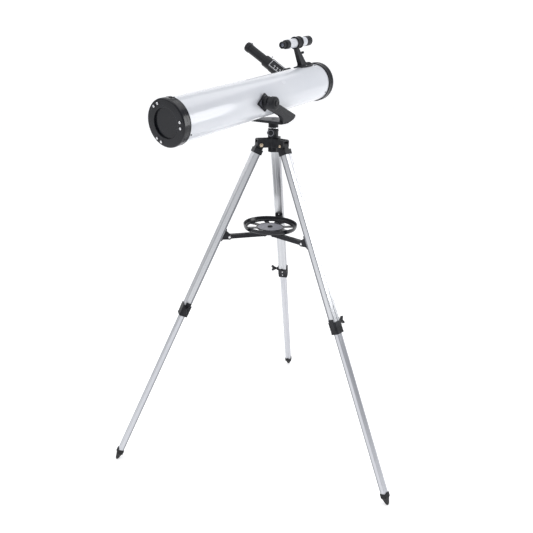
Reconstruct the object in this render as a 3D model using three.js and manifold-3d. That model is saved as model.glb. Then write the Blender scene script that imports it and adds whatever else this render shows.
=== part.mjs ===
// A reflecting telescope on a leaning fork mount and a three-legged aluminium tripod.
// Millimetres, +Z up. The tube points along +Y, the altitude axis is along X and the
// azimuth axis is vertical. The group is shifted so that its origin is at the middle
// of its footprint, on the surface that the feet stand on.
import * as THREE from 'three';
import { mergeVertices } from 'three/addons/utils/BufferGeometryUtils.js';
import Module from 'manifold-3d';

const wasm = await Module();
wasm.setup();

// ---------------------------------------------------------------- driving dimensions
const GAP = 0.3; // between pieces that touch or fit into each other
const RUN = 0.4; // radial clearance of a turning fit

// tripod
const HINGE_HEIGHT = 938.4;
const HINGE_RADIUS = 36.9;
const FOOT_RADIUS = 468.7;
const LEG_AZIMUTHS = [112.7, 232.7, 352.7];
const LEG_TILT = Math.atan2(FOOT_RADIUS - HINGE_RADIUS, HINGE_HEIGHT);
const LEG_LENGTH = Math.hypot(FOOT_RADIUS - HINGE_RADIUS, HINGE_HEIGHT);
const UPPER_WIDTH = 25; // across, tangential
const UPPER_DEPTH = 20; // in and out
const LOWER_WIDTH = 19.4;
const LOWER_DEPTH = 14.8;
const LEG_WALL = 1.5;
const GROOVE = 0.9; // depth of the long grooves in the leg faces
const UPPER_TOP = 15; // distances down the leg from its hinge
const COLLAR_BOTTOM = 529;
const COLLAR_LENGTH = 42;
const COLLAR_SCREW = 14; // the lock screw's distance below the collar's top
const LOWER_TOP = 455;
const FOOT_LENGTH = 36;
const SOCKET_TOP = 12;
const SOCKET_END = 29;
const BOLT_RADIUS = 2.8;
const TONGUE_WIDTH = 16;

// hub
const HUB_BOTTOM = 918;
const LUG_BOTTOM = 931;
const LUG_TOP = 954.5;
const COLUMN_RADIUS = 14;
const COLUMN_TOP = 981;
const SPINDLE_RADIUS = 7;
const LUG_REACH = 47;
const LUG_WALL = 4;
const AZIMUTH_LOCK_HEIGHT = 971;
const AZIMUTH_LOCK_TURN = 18; // from straight behind towards +X

// spreader and tray
const ARM_PIVOT_RADIUS = 122;
const ARM_PIVOT_HEIGHT = 684;
const ARM_INNER_RADIUS = 18;
const ARM_WIDTH = 13;
const ARM_HEIGHT = 11.4;
const TRAY_RADIUS = 76.8;
const TRAY_TOP = 714;
const TRAY_FLOOR = 701;
const TRAY_DISC = 36;
const TRAY_HOLES = 8;

// head
const YOKE_BOTTOM = 999;
const YOKE_TOP = 1005;
const NECK_BOTTOM = 984;
const NECK_RADIUS = 13.5;
const PIVOT_BACK = 119.7; // the altitude axis lies this far behind the azimuth axis
const PIVOT_HEIGHT = 1060.1;
const BOSS_RADIUS = 16;
const BOSS_INNER = 73.6;
const BOSS_OUTER = 88;
const ARM_LEAN = 0.45; // how far a fork arm moves out for each step up
const ARM_THICK = 11;
const ARM_ROOT = 50.5;
const AXLE_RADIUS = 4;
const TILT_KNOB_RADIUS = 15.4;
const TILT_KNOB_INNER = 54.4;
const PLATE_FACE = 53.8; // outer face of the side plates, from the tube's axis

// tube, measured along its axis from the rear face
const TUBE_TILT = 5.63;
const TUBE_LENGTH = 640;
const TUBE_RADIUS = 50;
const TUBE_WALL = 1.2;
const PIVOT_AT = 295.1;
const RING_RADIUS = 53.3;
const REAR_RING = 23.5;
const FRONT_RING = 23.4;
const CELL_WINDOW = 33.4;
const CELL_RECESS = 4.9;
const MIRROR_SCREW_RADIUS = 3;
const MIRROR_SCREW_CIRCLE = 44;
const MIRROR_SCREWS = [-38.5, -21.5, 81.5, 98.5, 201.5, 218.5]; // from the top towards +X
const MIRROR_RADIUS = 38;
const MIRROR_BACK = 12.3;
const MIRROR_THICK = 9;
const FOCAL_LENGTH = 700;
const ROUND = 36; // sides of the largest turned pieces

// focuser, its own axis square to the tube
const FOCUSER_AT = 532.4;
const FOCUSER_TURN = -59.4; // from the top of the tube towards -X
const FOCUSER_BASE = 49.6;
const HOUSING_RADIUS = 17;
const HOUSING_TOP = 102;
const COLLAR_RADIUS = 16;
const COLLAR_TOP = 128;
const DRAWTUBE_RADIUS = 12.3;
const DRAWTUBE_LOW = 58;
const DRAWTUBE_END = 192;
const HOLDER_RADIUS = 13.6;
const EYEPIECE_RADIUS = 10.2;
const EYEPIECE_END = 199;
const PANEL_TURN = -45; // the ribbed panel's side of the housing, about the drawtube
const PINION_RADIUS = 3;
const RACK_TOP = 108;
const RACK_FACE = DRAWTUBE_RADIUS + 3;
const FOCUS_SHAFT_X = RACK_FACE + PINION_RADIUS + GAP;
const FOCUS_SHAFT_Z = 67.6;

// finder
const FINDER_TURN = -5.5;
const FINDER_HEIGHT = 114.2;
const FINDER_REAR = 469.5;
const FINDER_BARREL = 498.5;
const FINDER_HOOD = 583;
const FINDER_FRONT = 608;
const FINDER_RADIUS = 12.3;
const STALK_AT = 544.5;
const FINDER_KNOB_DROP = 28.2;

// ---------------------------------------------------------------- finishes
const finish = (color, roughness, metalness = 0) =>
  new THREE.MeshStandardMaterial({ color, roughness, metalness });
const blackPlastic = () => finish(0x1c1d21, 0.45);
const blackGloss = () => finish(0x131419, 0.2);
const aluminium = () => finish(0xc9cdd4, 0.38, 0.9);
const chrome = () => finish(0xdadde2, 0.16, 1);
const brass = () => finish(0xb59866, 0.3, 1);
const rubber = () => finish(0x202123, 0.85);
const whitePaint = () => finish(0xeef0f5, 0.16);
const glass = () => finish(0x9fb4c8, 0.05);
const mirror = () => finish(0xe6eaee, 0.03, 1);

// ---------------------------------------------------------------- solid helpers
const degrees = THREE.MathUtils.degToRad;

// A closed three.js geometry as a solid, with shared corners merged.
function solid(geometry) {
  const bare = geometry.clone();
  bare.deleteAttribute('normal');
  bare.deleteAttribute('uv');
  const merged = mergeVertices(bare, 1e-4);
  const corners = merged.index.array;
  const kept = [];
  for (let i = 0; i < corners.length; i += 3) {
    const [a, b, c] = [corners[i], corners[i + 1], corners[i + 2]];
    if (a !== b && b !== c && c !== a) kept.push(a, b, c);
  }
  const points = merged.attributes.position.array;
  if (signedVolume(points, kept) < 0) kept.reverse();
  const data = {
    numProp: 3,
    vertProperties: Float32Array.from(points),
    triVerts: Uint32Array.from(kept),
  };
  return new wasm.Manifold(new wasm.Mesh(data));
}

function signedVolume(points, corners) {
  const a = new THREE.Vector3();
  const b = new THREE.Vector3();
  const c = new THREE.Vector3();
  let volume = 0;
  for (let i = 0; i < corners.length; i += 3) {
    a.fromArray(points, corners[i] * 3);
    b.fromArray(points, corners[i + 1] * 3);
    c.fromArray(points, corners[i + 2] * 3);
    volume += a.dot(b.cross(c));
  }
  return volume;
}

// The solid back as a geometry with flat-shaded normals.
function shape(body) {
  const mesh = body.getMesh();
  const geometry = new THREE.BufferGeometry();
  geometry.setAttribute('position', new THREE.BufferAttribute(mesh.vertProperties, 3));
  geometry.setIndex(new THREE.BufferAttribute(mesh.triVerts, 1));
  geometry.computeVertexNormals();
  return geometry;
}

const join = (first, ...others) => others.reduce((sum, next) => sum.add(next), first);
const cut = (first, ...others) => others.reduce((rest, next) => rest.subtract(next), first);

// A block between two corners.
function block([x0, y0, z0], [x1, y1, z1]) {
  const geometry = new THREE.BoxGeometry(x1 - x0, y1 - y0, z1 - z0);
  geometry.translate((x0 + x1) / 2, (y0 + y1) / 2, (z0 + z1) / 2);
  return solid(geometry);
}

// A profile of [radius, height] pairs turned about 'x', 'y' or 'z'.
function turned(profile, sides, axis = 'z') {
  const points = profile.map(([r, h]) => new THREE.Vector2(r, h));
  const onAxis = profile[0][0] === 0 && profile[profile.length - 1][0] === 0;
  if (!onAxis) points.push(points[0].clone());
  const geometry = new THREE.LatheGeometry(points, sides);
  if (axis === 'z') geometry.rotateX(Math.PI / 2);
  if (axis === 'x') geometry.rotateZ(-Math.PI / 2);
  return solid(geometry);
}

// A plain round rod from one height to another.
const rod = (radius, low, high, sides, axis = 'z') =>
  turned([[0, low], [radius, low], [radius, high], [0, high]], sides, axis);

// A ring of rectangular section.
const ring = (inner, outer, low, high, sides, axis = 'z') =>
  turned([[inner, low], [outer, low], [outer, high], [inner, high]], sides, axis);

// A rectangle with rounded corners, and shallow grooves along its two broad faces.
function profileOf(width, depth, corner, groove = 0) {
  const w = width / 2;
  const d = depth / 2;
  const outline = new THREE.Shape();
  outline.moveTo(d - corner, -w);
  outline.absarc(d - corner, -w + corner, corner, -Math.PI / 2, 0);
  if (groove > 0) addGroove(outline, d, 1, groove);
  outline.absarc(d - corner, w - corner, corner, 0, Math.PI / 2);
  outline.absarc(-d + corner, w - corner, corner, Math.PI / 2, Math.PI);
  if (groove > 0) addGroove(outline, -d, -1, groove);
  outline.absarc(-d + corner, -w + corner, corner, Math.PI, Math.PI * 1.5);
  outline.closePath();
  return outline;
}

function addGroove(outline, face, way, groove) {
  const half = 2.4;
  outline.lineTo(face, -way * (half + groove));
  outline.lineTo(face - way * groove, -way * half);
  outline.lineTo(face - way * groove, way * half);
  outline.lineTo(face, way * (half + groove));
}

// An outline in the XY plane pulled up from one height to another.
function raised(outline, low, high, curveSegments = 1) {
  const settings = { depth: high - low, bevelEnabled: false, curveSegments };
  const geometry = new THREE.ExtrudeGeometry(outline, settings);
  geometry.translate(0, 0, low);
  return solid(geometry);
}

// An outline drawn in the YZ plane, pulled from one X to another.
function raisedAlongX(outline, low, high, curveSegments = 3) {
  const settings = { depth: high - low, bevelEnabled: false, curveSegments };
  const geometry = new THREE.ExtrudeGeometry(outline, settings);
  geometry.translate(0, 0, low);
  geometry.rotateX(Math.PI / 2);
  geometry.rotateZ(Math.PI / 2);
  return solid(geometry);
}

// An outline drawn in the XZ plane, pulled evenly to both sides of Y = 0.
function raisedAlongY(outline, width, curveSegments = 3) {
  const settings = { depth: width, bevelEnabled: false, curveSegments };
  const geometry = new THREE.ExtrudeGeometry(outline, settings);
  geometry.translate(0, 0, -width / 2);
  geometry.rotateX(Math.PI / 2);
  return solid(geometry);
}

function polygon(points) {
  return new THREE.Shape(points.map(([x, y]) => new THREE.Vector2(x, y)));
}

// Points along an arc about the origin; a full turn leaves out its last point.
function arcPoints(radius, from, to, steps) {
  const count = Math.abs(to - from) > 6.28 ? steps : steps + 1;
  return Array.from({ length: count }, (_, i) => {
    const angle = from + ((to - from) * i) / steps;
    return new THREE.Vector2(radius * Math.cos(angle), radius * Math.sin(angle));
  });
}

const moved = (body, x, y, z) => body.translate([x, y, z]);

function named(name, body, material) {
  const mesh = new THREE.Mesh(shape(body), material);
  mesh.name = name;
  return mesh;
}

function groupAt(x, y, z) {
  const group = new THREE.Group();
  group.position.set(x, y, z);
  return group;
}

// A screw knob on the Z axis: its shank points down to `tip`, its head has finger lobes.
function lobedKnob(shank, tip, neck, headRadius, headLow, headHigh, lobes) {
  const rim = new THREE.Shape();
  const steps = lobes * 3;
  for (let i = 0; i < steps; i += 1) {
    const angle = (i / steps) * Math.PI * 2;
    const reach = headRadius * (1 - 0.09 * (1 - Math.cos(angle * lobes)) / 2);
    const point = [reach * Math.cos(angle), reach * Math.sin(angle)];
    if (i === 0) rim.moveTo(...point);
    else rim.lineTo(...point);
  }
  rim.closePath();
  return join(
    rod(shank, tip, headLow + 0.5, 12),
    rod(neck, headLow - 3, headLow + 0.5, 12),
    raised(rim, headLow, headHigh),
    rod(headRadius * 0.6, headHigh - 0.2, headHigh + 1.2, 12),
  );
}

// A wing screw on the Z axis: a shank, a round boss and two flat wings.
function wingScrew(shank, tip, bossLow, bossHigh, wingReach) {
  const wings = new THREE.Shape();
  wings.moveTo(-wingReach, bossHigh + 6);
  wings.lineTo(-wingReach - 0.5, bossHigh + 1);
  wings.lineTo(-4, bossLow + 1);
  wings.lineTo(4, bossLow + 1);
  wings.lineTo(wingReach + 0.5, bossHigh + 1);
  wings.lineTo(wingReach, bossHigh + 6);
  wings.lineTo(wingReach - 4, bossHigh + 6.5);
  wings.lineTo(3, bossHigh - 0.5);
  wings.lineTo(-3, bossHigh - 0.5);
  wings.lineTo(-wingReach + 4, bossHigh + 6.5);
  wings.closePath();
  return join(
    rod(shank, tip, bossLow + 0.5, 10),
    rod(5, bossLow, bossHigh, 12),
    raisedAlongY(wings, 3.4),
  );
}

// ---------------------------------------------------------------- tripod hub
function hubBody() {
  let body = join(
    rod(COLUMN_RADIUS, LUG_BOTTOM, COLUMN_TOP, 24),
    rod(COLUMN_RADIUS - 1.5, HUB_BOTTOM, LUG_BOTTOM + 1, 24),
  );
  const side = polygon([
    [4, LUG_BOTTOM],
    [LUG_REACH - 5, LUG_BOTTOM],
    [LUG_REACH, LUG_BOTTOM + 4],
    [LUG_REACH, LUG_TOP - 3],
    [LUG_REACH - 3, LUG_TOP],
    [4, LUG_TOP],
  ]);
  const earsWidth = TONGUE_WIDTH + 2 * GAP + 2 * LUG_WALL;
  const slotHalf = TONGUE_WIDTH / 2 + GAP;
  for (const azimuth of LEG_AZIMUTHS) {
    const lug = cut(
      raisedAlongY(side, earsWidth),
      block([COLUMN_RADIUS + 3, -slotHalf, HUB_BOTTOM], [LUG_REACH + 9, slotHalf, LUG_TOP - 4]),
      moved(rod(BOLT_RADIUS + GAP, -20, 20, 10, 'y'), HINGE_RADIUS, 0, HINGE_HEIGHT),
    );
    body = body.add(lug.rotate([0, 0, azimuth]));
  }
  const screwHole = rod(3 + GAP, -COLUMN_RADIUS - 2, 0, 12, 'y').rotate([0, 0, AZIMUTH_LOCK_TURN]);
  return cut(
    body,
    rod(SPINDLE_RADIUS + RUN, HUB_BOTTOM - 1, COLUMN_TOP + 1, 24),
    moved(screwHole, 0, 0, AZIMUTH_LOCK_HEIGHT),
  );
}

// A bolt across the ears of the hub, with its head on one side and a nut on the other.
function hingeBolt() {
  const face = TONGUE_WIDTH / 2 + GAP + LUG_WALL + GAP;
  return turned([
    [0, -face - 4.4],
    [2.9, -face - 4.4],
    [5, -face - 3.4],
    [5, -face],
    [BOLT_RADIUS, -face],
    [BOLT_RADIUS, face],
    [5.2, face],
    [5.2, face + 2],
    [3.4, face + 3.6],
    [0, face + 3.9],
  ], 12, 'y');
}

function azimuthLockKnob() {
  return lobedKnob(3, SPINDLE_RADIUS + 0.6, 4.6, 9.6, COLUMN_RADIUS + 3.4, COLUMN_RADIUS + 9.4, 6);
}

// ---------------------------------------------------------------- one leg
// Leg frame: origin at the hinge, -Z down the leg, +X out, +Y along the hinge.
function legSocket() {
  const tongue = new THREE.Shape();
  tongue.absarc(0, 0, 10.2, 0, Math.PI);
  tongue.lineTo(-10.2, -SOCKET_TOP - 1);
  tongue.lineTo(10.2, -SOCKET_TOP - 1);
  tongue.closePath();
  const sleeve = raised(profileOf(UPPER_WIDTH + 4.4, UPPER_DEPTH + 4.4, 3), -SOCKET_END, -SOCKET_TOP);
  return cut(
    join(raisedAlongY(tongue, TONGUE_WIDTH, 5), sleeve),
    raised(profileOf(UPPER_WIDTH + 2 * GAP, UPPER_DEPTH + 2 * GAP, 2.6), -SOCKET_END - 1, -UPPER_TOP - GAP),
    rod(BOLT_RADIUS + GAP, -20, 20, 10, 'y'),
  );
}

function legTube(width, depth, top, bottom) {
  const outside = raised(profileOf(width, depth, 2.4, GROOVE), -bottom, -top);
  const inside = raised(
    profileOf(width - 2 * LEG_WALL, depth - 2 * LEG_WALL - 2 * GROOVE, 1.2), -bottom - 1, -top + 1);
  return cut(outside, inside);
}

function legCollar() {
  const bottom = -COLLAR_BOTTOM;
  const top = bottom + COLLAR_LENGTH;
  const shell = join(
    raised(profileOf(UPPER_WIDTH + 4.4, UPPER_DEPTH + 5, 4), bottom, top - 8),
    block([-7.5, UPPER_WIDTH / 2 + 0.5, bottom + 4], [7.5, UPPER_WIDTH / 2 + 3, top]),
    block([-7.5, -UPPER_WIDTH / 2 - 3, bottom + 4], [7.5, -UPPER_WIDTH / 2 - 0.5, top]),
    moved(rod(6, UPPER_WIDTH / 2, UPPER_WIDTH / 2 + 8, 12, 'y'), 0, 0, top - COLLAR_SCREW),
  );
  return cut(
    shell,
    raised(profileOf(UPPER_WIDTH + 2 * GAP, UPPER_DEPTH + 2 * GAP, 2.5), bottom + 20, top + 1),
    raised(profileOf(LOWER_WIDTH + 2 * GAP, LOWER_DEPTH + 2 * GAP, 2.2), bottom - 1, bottom + 21),
    moved(rod(3 + GAP, 0, UPPER_WIDTH / 2 + 9, 10, 'y'), 0, 0, top - COLLAR_SCREW),
  );
}

function lockHoleInLeg(body) {
  const level = -COLLAR_BOTTOM + COLLAR_LENGTH - COLLAR_SCREW;
  return cut(body, moved(rod(3 + GAP, 0, UPPER_WIDTH, 10, 'y'), 0, 0, level));
}

// The bracket on the inner face of the leg that holds the outer end of a spreader arm.
function spreaderBracket(along, reach) {
  const back = -UPPER_DEPTH / 2 - GAP;
  const lug = new THREE.Shape();
  lug.moveTo(back, -along + 14);
  lug.lineTo(-reach, -along + 7.5);
  lug.absarc(-reach, -along, 7.5, Math.PI / 2, Math.PI * 1.5);
  lug.lineTo(back, -along - 15);
  lug.closePath();
  const half = ARM_WIDTH / 2 + 0.7;
  return cut(
    join(
      raisedAlongY(lug, 2 * half + 4.4),
      block([back - 2.6, -UPPER_WIDTH / 2 + 1, -along - 19], [back, UPPER_WIDTH / 2 - 1, -along + 19]),
    ),
    block([-reach - 9, -half, -along - 24], [back - 2.6, half, -along + 24]),
    moved(rod(2.2 + GAP, -20, 20, 10, 'y'), -reach, 0, -along),
  );
}

// A pin through the bracket and the arm, turned over at both ends.
function armPin() {
  const face = ARM_WIDTH / 2 + 0.7 + 2.2 + GAP;
  return turned([
    [0, -face - 1.6], [3, -face - 1.4], [3.6, -face], [2.2, -face],
    [2.2, face], [3.6, face], [3, face + 1.4], [0, face + 1.6],
  ], 10, 'y');
}

function foot() {
  const top = -LEG_LENGTH + FOOT_LENGTH;
  const tip = -LEG_LENGTH + 2.6;
  const tapered = (half, end) => polygon([
    [-end, tip - 2.2], [end, tip - 2.2], [end + 1.6, tip], [half - 2, top - 16],
    [half, top - 11], [half, top], [-half, top], [-half, top - 11],
    [-half + 2, top - 16], [-end - 1.6, tip],
  ]);
  const across = LOWER_WIDTH / 2 + 2;
  const through = LOWER_DEPTH / 2 + 2;
  const outside = raisedAlongX(tapered(across, 3), -through - 1, through + 1)
    .intersect(raisedAlongY(tapered(through, 2.4), 2 * across + 2))
    .intersect(raised(profileOf(2 * across, 2 * through, 3), tip - 4, top + 1));
  const plug = raised(profileOf(LOWER_WIDTH + 2 * GAP, LOWER_DEPTH + 2 * GAP, 2.2), top - 10, top + 1);
  return cut(outside, plug);
}

// A spreader arm: a channel that is open below, with round ends.
// Arm frame: origin at its outer pivot, -X towards the middle of the tripod.
function spreaderArm() {
  const reach = ARM_PIVOT_RADIUS - ARM_INNER_RADIUS;
  const half = ARM_HEIGHT / 2;
  const outline = new THREE.Shape();
  outline.absarc(0, 0, half, -Math.PI / 2, Math.PI / 2);
  outline.lineTo(-reach, half);
  outline.absarc(-reach, 0, half, Math.PI / 2, Math.PI * 1.5);
  outline.closePath();
  return cut(
    raisedAlongY(outline, ARM_WIDTH, 4),
    block([-reach - 10, -ARM_WIDTH / 2 + 1.8, -half - 1], [10, ARM_WIDTH / 2 - 1.8, half - 2]),
    rod(2.2 + RUN, -20, 20, 10, 'y'),
    moved(rod(2.6, -20, 20, 10, 'y'), -reach, 0, 0),
  );
}

function addLegs(parent) {
  const armAlong = (HINGE_HEIGHT - ARM_PIVOT_HEIGHT) * Math.cos(LEG_TILT)
    + (ARM_PIVOT_RADIUS - HINGE_RADIUS) * Math.sin(LEG_TILT);
  const armReach = (HINGE_HEIGHT - ARM_PIVOT_HEIGHT) * Math.sin(LEG_TILT)
    - (ARM_PIVOT_RADIUS - HINGE_RADIUS) * Math.cos(LEG_TILT);
  LEG_AZIMUTHS.forEach((azimuth, index) => {
    const n = index + 1;
    const around = groupAt(0, 0, 0);
    around.rotation.z = degrees(azimuth);
    const leg = groupAt(HINGE_RADIUS, 0, HINGE_HEIGHT);
    leg.rotation.y = -LEG_TILT;
    const bolt = groupAt(HINGE_RADIUS, 0, HINGE_HEIGHT);
    bolt.add(named(`hinge_bolt_${n}`, hingeBolt(), brass()));
    leg.add(named(`leg_socket_${n}`, legSocket(), blackPlastic()));
    const upper = legTube(UPPER_WIDTH, UPPER_DEPTH, UPPER_TOP + 2 * GAP, COLLAR_BOTTOM - 21);
    leg.add(named(`upper_leg_${n}`, lockHoleInLeg(upper), aluminium()));
    leg.add(named(`leg_collar_${n}`, legCollar(), blackPlastic()));
    leg.add(named(`spreader_bracket_${n}`, spreaderBracket(armAlong, armReach), blackPlastic()));
    const lower = legTube(LOWER_WIDTH, LOWER_DEPTH, LOWER_TOP, LEG_LENGTH - FOOT_LENGTH + 10 - GAP);
    leg.add(named(`lower_leg_${n}`, lower, aluminium()));
    leg.add(named(`foot_${n}`, foot(), rubber()));
    const lock = groupAt(0, 0, -COLLAR_BOTTOM + COLLAR_LENGTH - COLLAR_SCREW);
    lock.rotation.x = -Math.PI / 2;
    const tip = LOWER_WIDTH / 2 + GAP;
    const headLow = UPPER_WIDTH / 2 + 14;
    const knob = wingScrew(2.8, tip, headLow, headLow + 6, 10).rotate([0, 0, 90]);
    lock.add(named(`leg_lock_knob_${n}`, knob, blackPlastic()));
    leg.add(lock);
    const arm = groupAt(ARM_PIVOT_RADIUS, 0, ARM_PIVOT_HEIGHT);
    arm.add(named(`spreader_arm_${n}`, spreaderArm(), blackPlastic()));
    const pin = groupAt(ARM_PIVOT_RADIUS, 0, ARM_PIVOT_HEIGHT);
    pin.add(named(`arm_pin_${n}`, armPin(), chrome()));
    around.add(leg, bolt, arm, pin);
    parent.add(around);
  });
}

// ---------------------------------------------------------------- tray
function accessoryTray() {
  const disc = new THREE.Shape(arcPoints(TRAY_RADIUS - 2.5, 0, Math.PI * 2, 44));
  disc.holes.push(new THREE.Path(arcPoints(4, 0, Math.PI * 2, 12)));
  const inner = TRAY_DISC + 4;
  const outer = TRAY_RADIUS - 12;
  const half = Math.PI / TRAY_HOLES - 0.11;
  for (let i = 0; i < TRAY_HOLES; i += 1) {
    const middle = ((i + 0.5) / TRAY_HOLES) * Math.PI * 2;
    disc.holes.push(new THREE.Path([
      ...arcPoints(outer, middle - half, middle + half, 4),
      ...arcPoints(inner, middle + half * 0.86, middle - half * 0.86, 3),
    ]));
  }
  const rim = turned([
    [TRAY_RADIUS - 9, TRAY_FLOOR],
    [TRAY_RADIUS - 4.5, TRAY_FLOOR - 0.6],
    [TRAY_RADIUS - 0.8, TRAY_FLOOR + 4],
    [TRAY_RADIUS, TRAY_TOP],
    [TRAY_RADIUS - 2.6, TRAY_TOP - 0.6],
    [TRAY_RADIUS - 5, TRAY_FLOOR + 4],
    [TRAY_RADIUS - 9, TRAY_FLOOR + 2.6],
  ], 44);
  return join(raised(disc, TRAY_FLOOR, TRAY_FLOOR + 2.6), rim);
}

// The plate under the tray, with a pair of ears beside the inner end of each arm.
function spreaderHub() {
  const plateLow = ARM_PIVOT_HEIGHT + ARM_HEIGHT / 2 + 4;
  const side = polygon([
    [ARM_INNER_RADIUS - 6, plateLow + 1],
    [ARM_INNER_RADIUS - 6, ARM_PIVOT_HEIGHT - 3],
    [ARM_INNER_RADIUS - 3, ARM_PIVOT_HEIGHT - 5.5],
    [ARM_INNER_RADIUS + 3, ARM_PIVOT_HEIGHT - 5.5],
    [ARM_INNER_RADIUS + 6, ARM_PIVOT_HEIGHT - 3],
    [ARM_INNER_RADIUS + 10, plateLow + 1],
  ]);
  const half = ARM_WIDTH / 2 + 0.8;
  let body = rod(30, plateLow, TRAY_FLOOR - GAP - 0.6, 24);
  for (const azimuth of LEG_AZIMUTHS) {
    const ears = cut(
      raisedAlongY(side, 2 * half + 4),
      block([0, -half, ARM_PIVOT_HEIGHT - 12], [40, half, plateLow]),
      moved(rod(2.6, -20, 20, 10, 'y'), ARM_INNER_RADIUS, 0, ARM_PIVOT_HEIGHT),
    );
    body = body.add(ears.rotate([0, 0, azimuth]));
  }
  return cut(body, rod(4, plateLow - 1, TRAY_FLOOR, 12));
}

function trayScrew() {
  const seat = TRAY_FLOOR + 2.6 + GAP;
  return turned([
    [0, ARM_PIVOT_HEIGHT + ARM_HEIGHT / 2 + 4.4], [3.6, ARM_PIVOT_HEIGHT + ARM_HEIGHT / 2 + 4.4],
    [3.6, seat], [7, seat], [7, seat + 2], [5.4, seat + 3.4], [0, seat + 3.6],
  ], 16);
}

// ---------------------------------------------------------------- fork head
// One fork arm, drawn from the side: it leans back to the boss of the altitude axis.
function forkArm() {
  const side = new THREE.Shape();
  const low = YOKE_BOTTOM + 2;
  side.moveTo(-44, low);
  side.lineTo(-14, low + 1.4);
  side.quadraticCurveTo(7, low + 3, 11, low + 11);
  side.quadraticCurveTo(14, low + 18, 3, low + 22);
  side.lineTo(-PIVOT_BACK + BOSS_RADIUS, PIVOT_HEIGHT - 1);
  side.absarc(-PIVOT_BACK, PIVOT_HEIGHT, BOSS_RADIUS, -0.06, Math.PI + 1.18);
  side.lineTo(-61.4, low + 22.7);
  side.quadraticCurveTo(-43, low + 14, -40, low + 4);
  side.closePath();
  const arm = raisedAlongX(side, ARM_ROOT - ARM_THICK / 2, ARM_ROOT + ARM_THICK / 2, 3);
  const lean = new THREE.Matrix4().set(
    1, 0, ARM_LEAN, -ARM_LEAN * YOKE_TOP,
    0, 1, 0, 0,
    0, 0, 1, 0,
    0, 0, 0, 1,
  );
  const leaning = shape(arm).applyMatrix4(lean);
  const axis = (body) => moved(body, 0, -PIVOT_BACK, PIVOT_HEIGHT);
  const boss = turned([
    [0, BOSS_INNER], [BOSS_RADIUS, BOSS_INNER], [BOSS_RADIUS, BOSS_OUTER - 3],
    [BOSS_RADIUS - 3, BOSS_OUTER], [0, BOSS_OUTER],
  ], 24, 'x');
  return cut(
    join(solid(leaning), axis(boss)),
    axis(rod(BOSS_RADIUS + 3, 40, BOSS_INNER, 24, 'x')),
    axis(ring(BOSS_RADIUS + 0.1, 60, BOSS_OUTER - 4, BOSS_OUTER + 20, 24, 'x')),
    axis(rod(AXLE_RADIUS + RUN, 60, 120, 12, 'x')),
  );
}

function yokeFrame() {
  const plate = new THREE.Shape();
  plate.moveTo(-53, -44);
  plate.lineTo(53, -44);
  plate.lineTo(53, -26);
  plate.quadraticCurveTo(51, 0, 40, 16);
  plate.quadraticCurveTo(30, 36, 22, 40);
  plate.lineTo(-22, 40);
  plate.quadraticCurveTo(-30, 36, -40, 16);
  plate.quadraticCurveTo(-51, 0, -53, -26);
  plate.closePath();
  const arm = forkArm();
  const body = join(
    raised(plate, YOKE_BOTTOM, YOKE_TOP, 3),
    rod(NECK_RADIUS, NECK_BOTTOM, YOKE_BOTTOM + 1, 24),
    arm,
    arm.mirror([1, 0, 0]),
  );
  return cut(body, rod(5 + GAP, NECK_BOTTOM - 1, YOKE_TOP + 1, 12));
}

function azimuthSpindle() {
  return turned([
    [0, HUB_BOTTOM + 2], [SPINDLE_RADIUS - 1, HUB_BOTTOM + 2], [SPINDLE_RADIUS, HUB_BOTTOM + 3],
    [SPINDLE_RADIUS, NECK_BOTTOM - GAP], [5, NECK_BOTTOM - GAP], [5, YOKE_TOP - 2.5], [0, YOKE_TOP - 2.5],
  ], 20);
}

// Altitude fittings are drawn on +X and mirrored for the other side.
function altitudeKnob() {
  const low = TILT_KNOB_INNER;
  const high = BOSS_INNER - GAP;
  const r = TILT_KNOB_RADIUS;
  return turned([
    [AXLE_RADIUS + RUN, low], [r - 1.4, low], [r, low + 1.4], [r, high - 6.4],
    [r - 1.8, high - 5.4], [r - 1.8, high], [AXLE_RADIUS + RUN, high],
  ], 24, 'x');
}

function altitudeBolt() {
  return turned([
    [0, 51.5], [AXLE_RADIUS, 51.5], [AXLE_RADIUS, BOSS_OUTER + GAP], [8, BOSS_OUTER + GAP],
    [8, BOSS_OUTER + 2.2], [5.6, BOSS_OUTER + 4.2], [0, BOSS_OUTER + 4.8],
  ], 14, 'x');
}

function sideBracket() {
  const lozenge = (long, tall) => polygon([[-long, 0], [0, -tall], [long, 0], [0, tall]]);
  return cut(
    join(
      raisedAlongX(lozenge(30, 23.4), PLATE_FACE - 3, PLATE_FACE, 3),
      raisedAlongX(lozenge(22, 17), 44, PLATE_FACE - 2, 3),
    ),
    rod(TUBE_RADIUS + GAP, -60, 60, ROUND, 'y'),
    rod(AXLE_RADIUS + GAP, 40, 70, 14, 'x'),
  );
}

// ---------------------------------------------------------------- optical tube
// Tube frame: origin on the altitude axis, +Y forward along the optical axis.
const along = (station) => station - PIVOT_AT;

function mainTube() {
  const wall = ring(
    TUBE_RADIUS - TUBE_WALL, TUBE_RADIUS, along(REAR_RING - 10), along(TUBE_LENGTH - 4), ROUND, 'y');
  const port = rod(RACK_FACE + 2, 20, 80, 20).rotate([0, FOCUSER_TURN, 0]);
  return cut(wall, moved(port, 0, along(FOCUSER_AT), 0));
}

function rearCell() {
  const skirt = TUBE_RADIUS + GAP + 0.1;
  const ringBody = turned([
    [CELL_WINDOW, along(0)],
    [RING_RADIUS - 1.6, along(0)],
    [RING_RADIUS, along(1.6)],
    [RING_RADIUS, along(13)],
    [RING_RADIUS - 0.9, along(13.8)],
    [RING_RADIUS - 0.9, along(REAR_RING)],
    [skirt, along(REAR_RING)],
    [skirt, along(CELL_RECESS - GAP)],
    [CELL_WINDOW, along(CELL_RECESS - GAP)],
  ], ROUND, 'y');
  return cut(ringBody, ...mirrorScrews(MIRROR_SCREW_RADIUS + GAP, -1, CELL_RECESS + 1));
}

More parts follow.
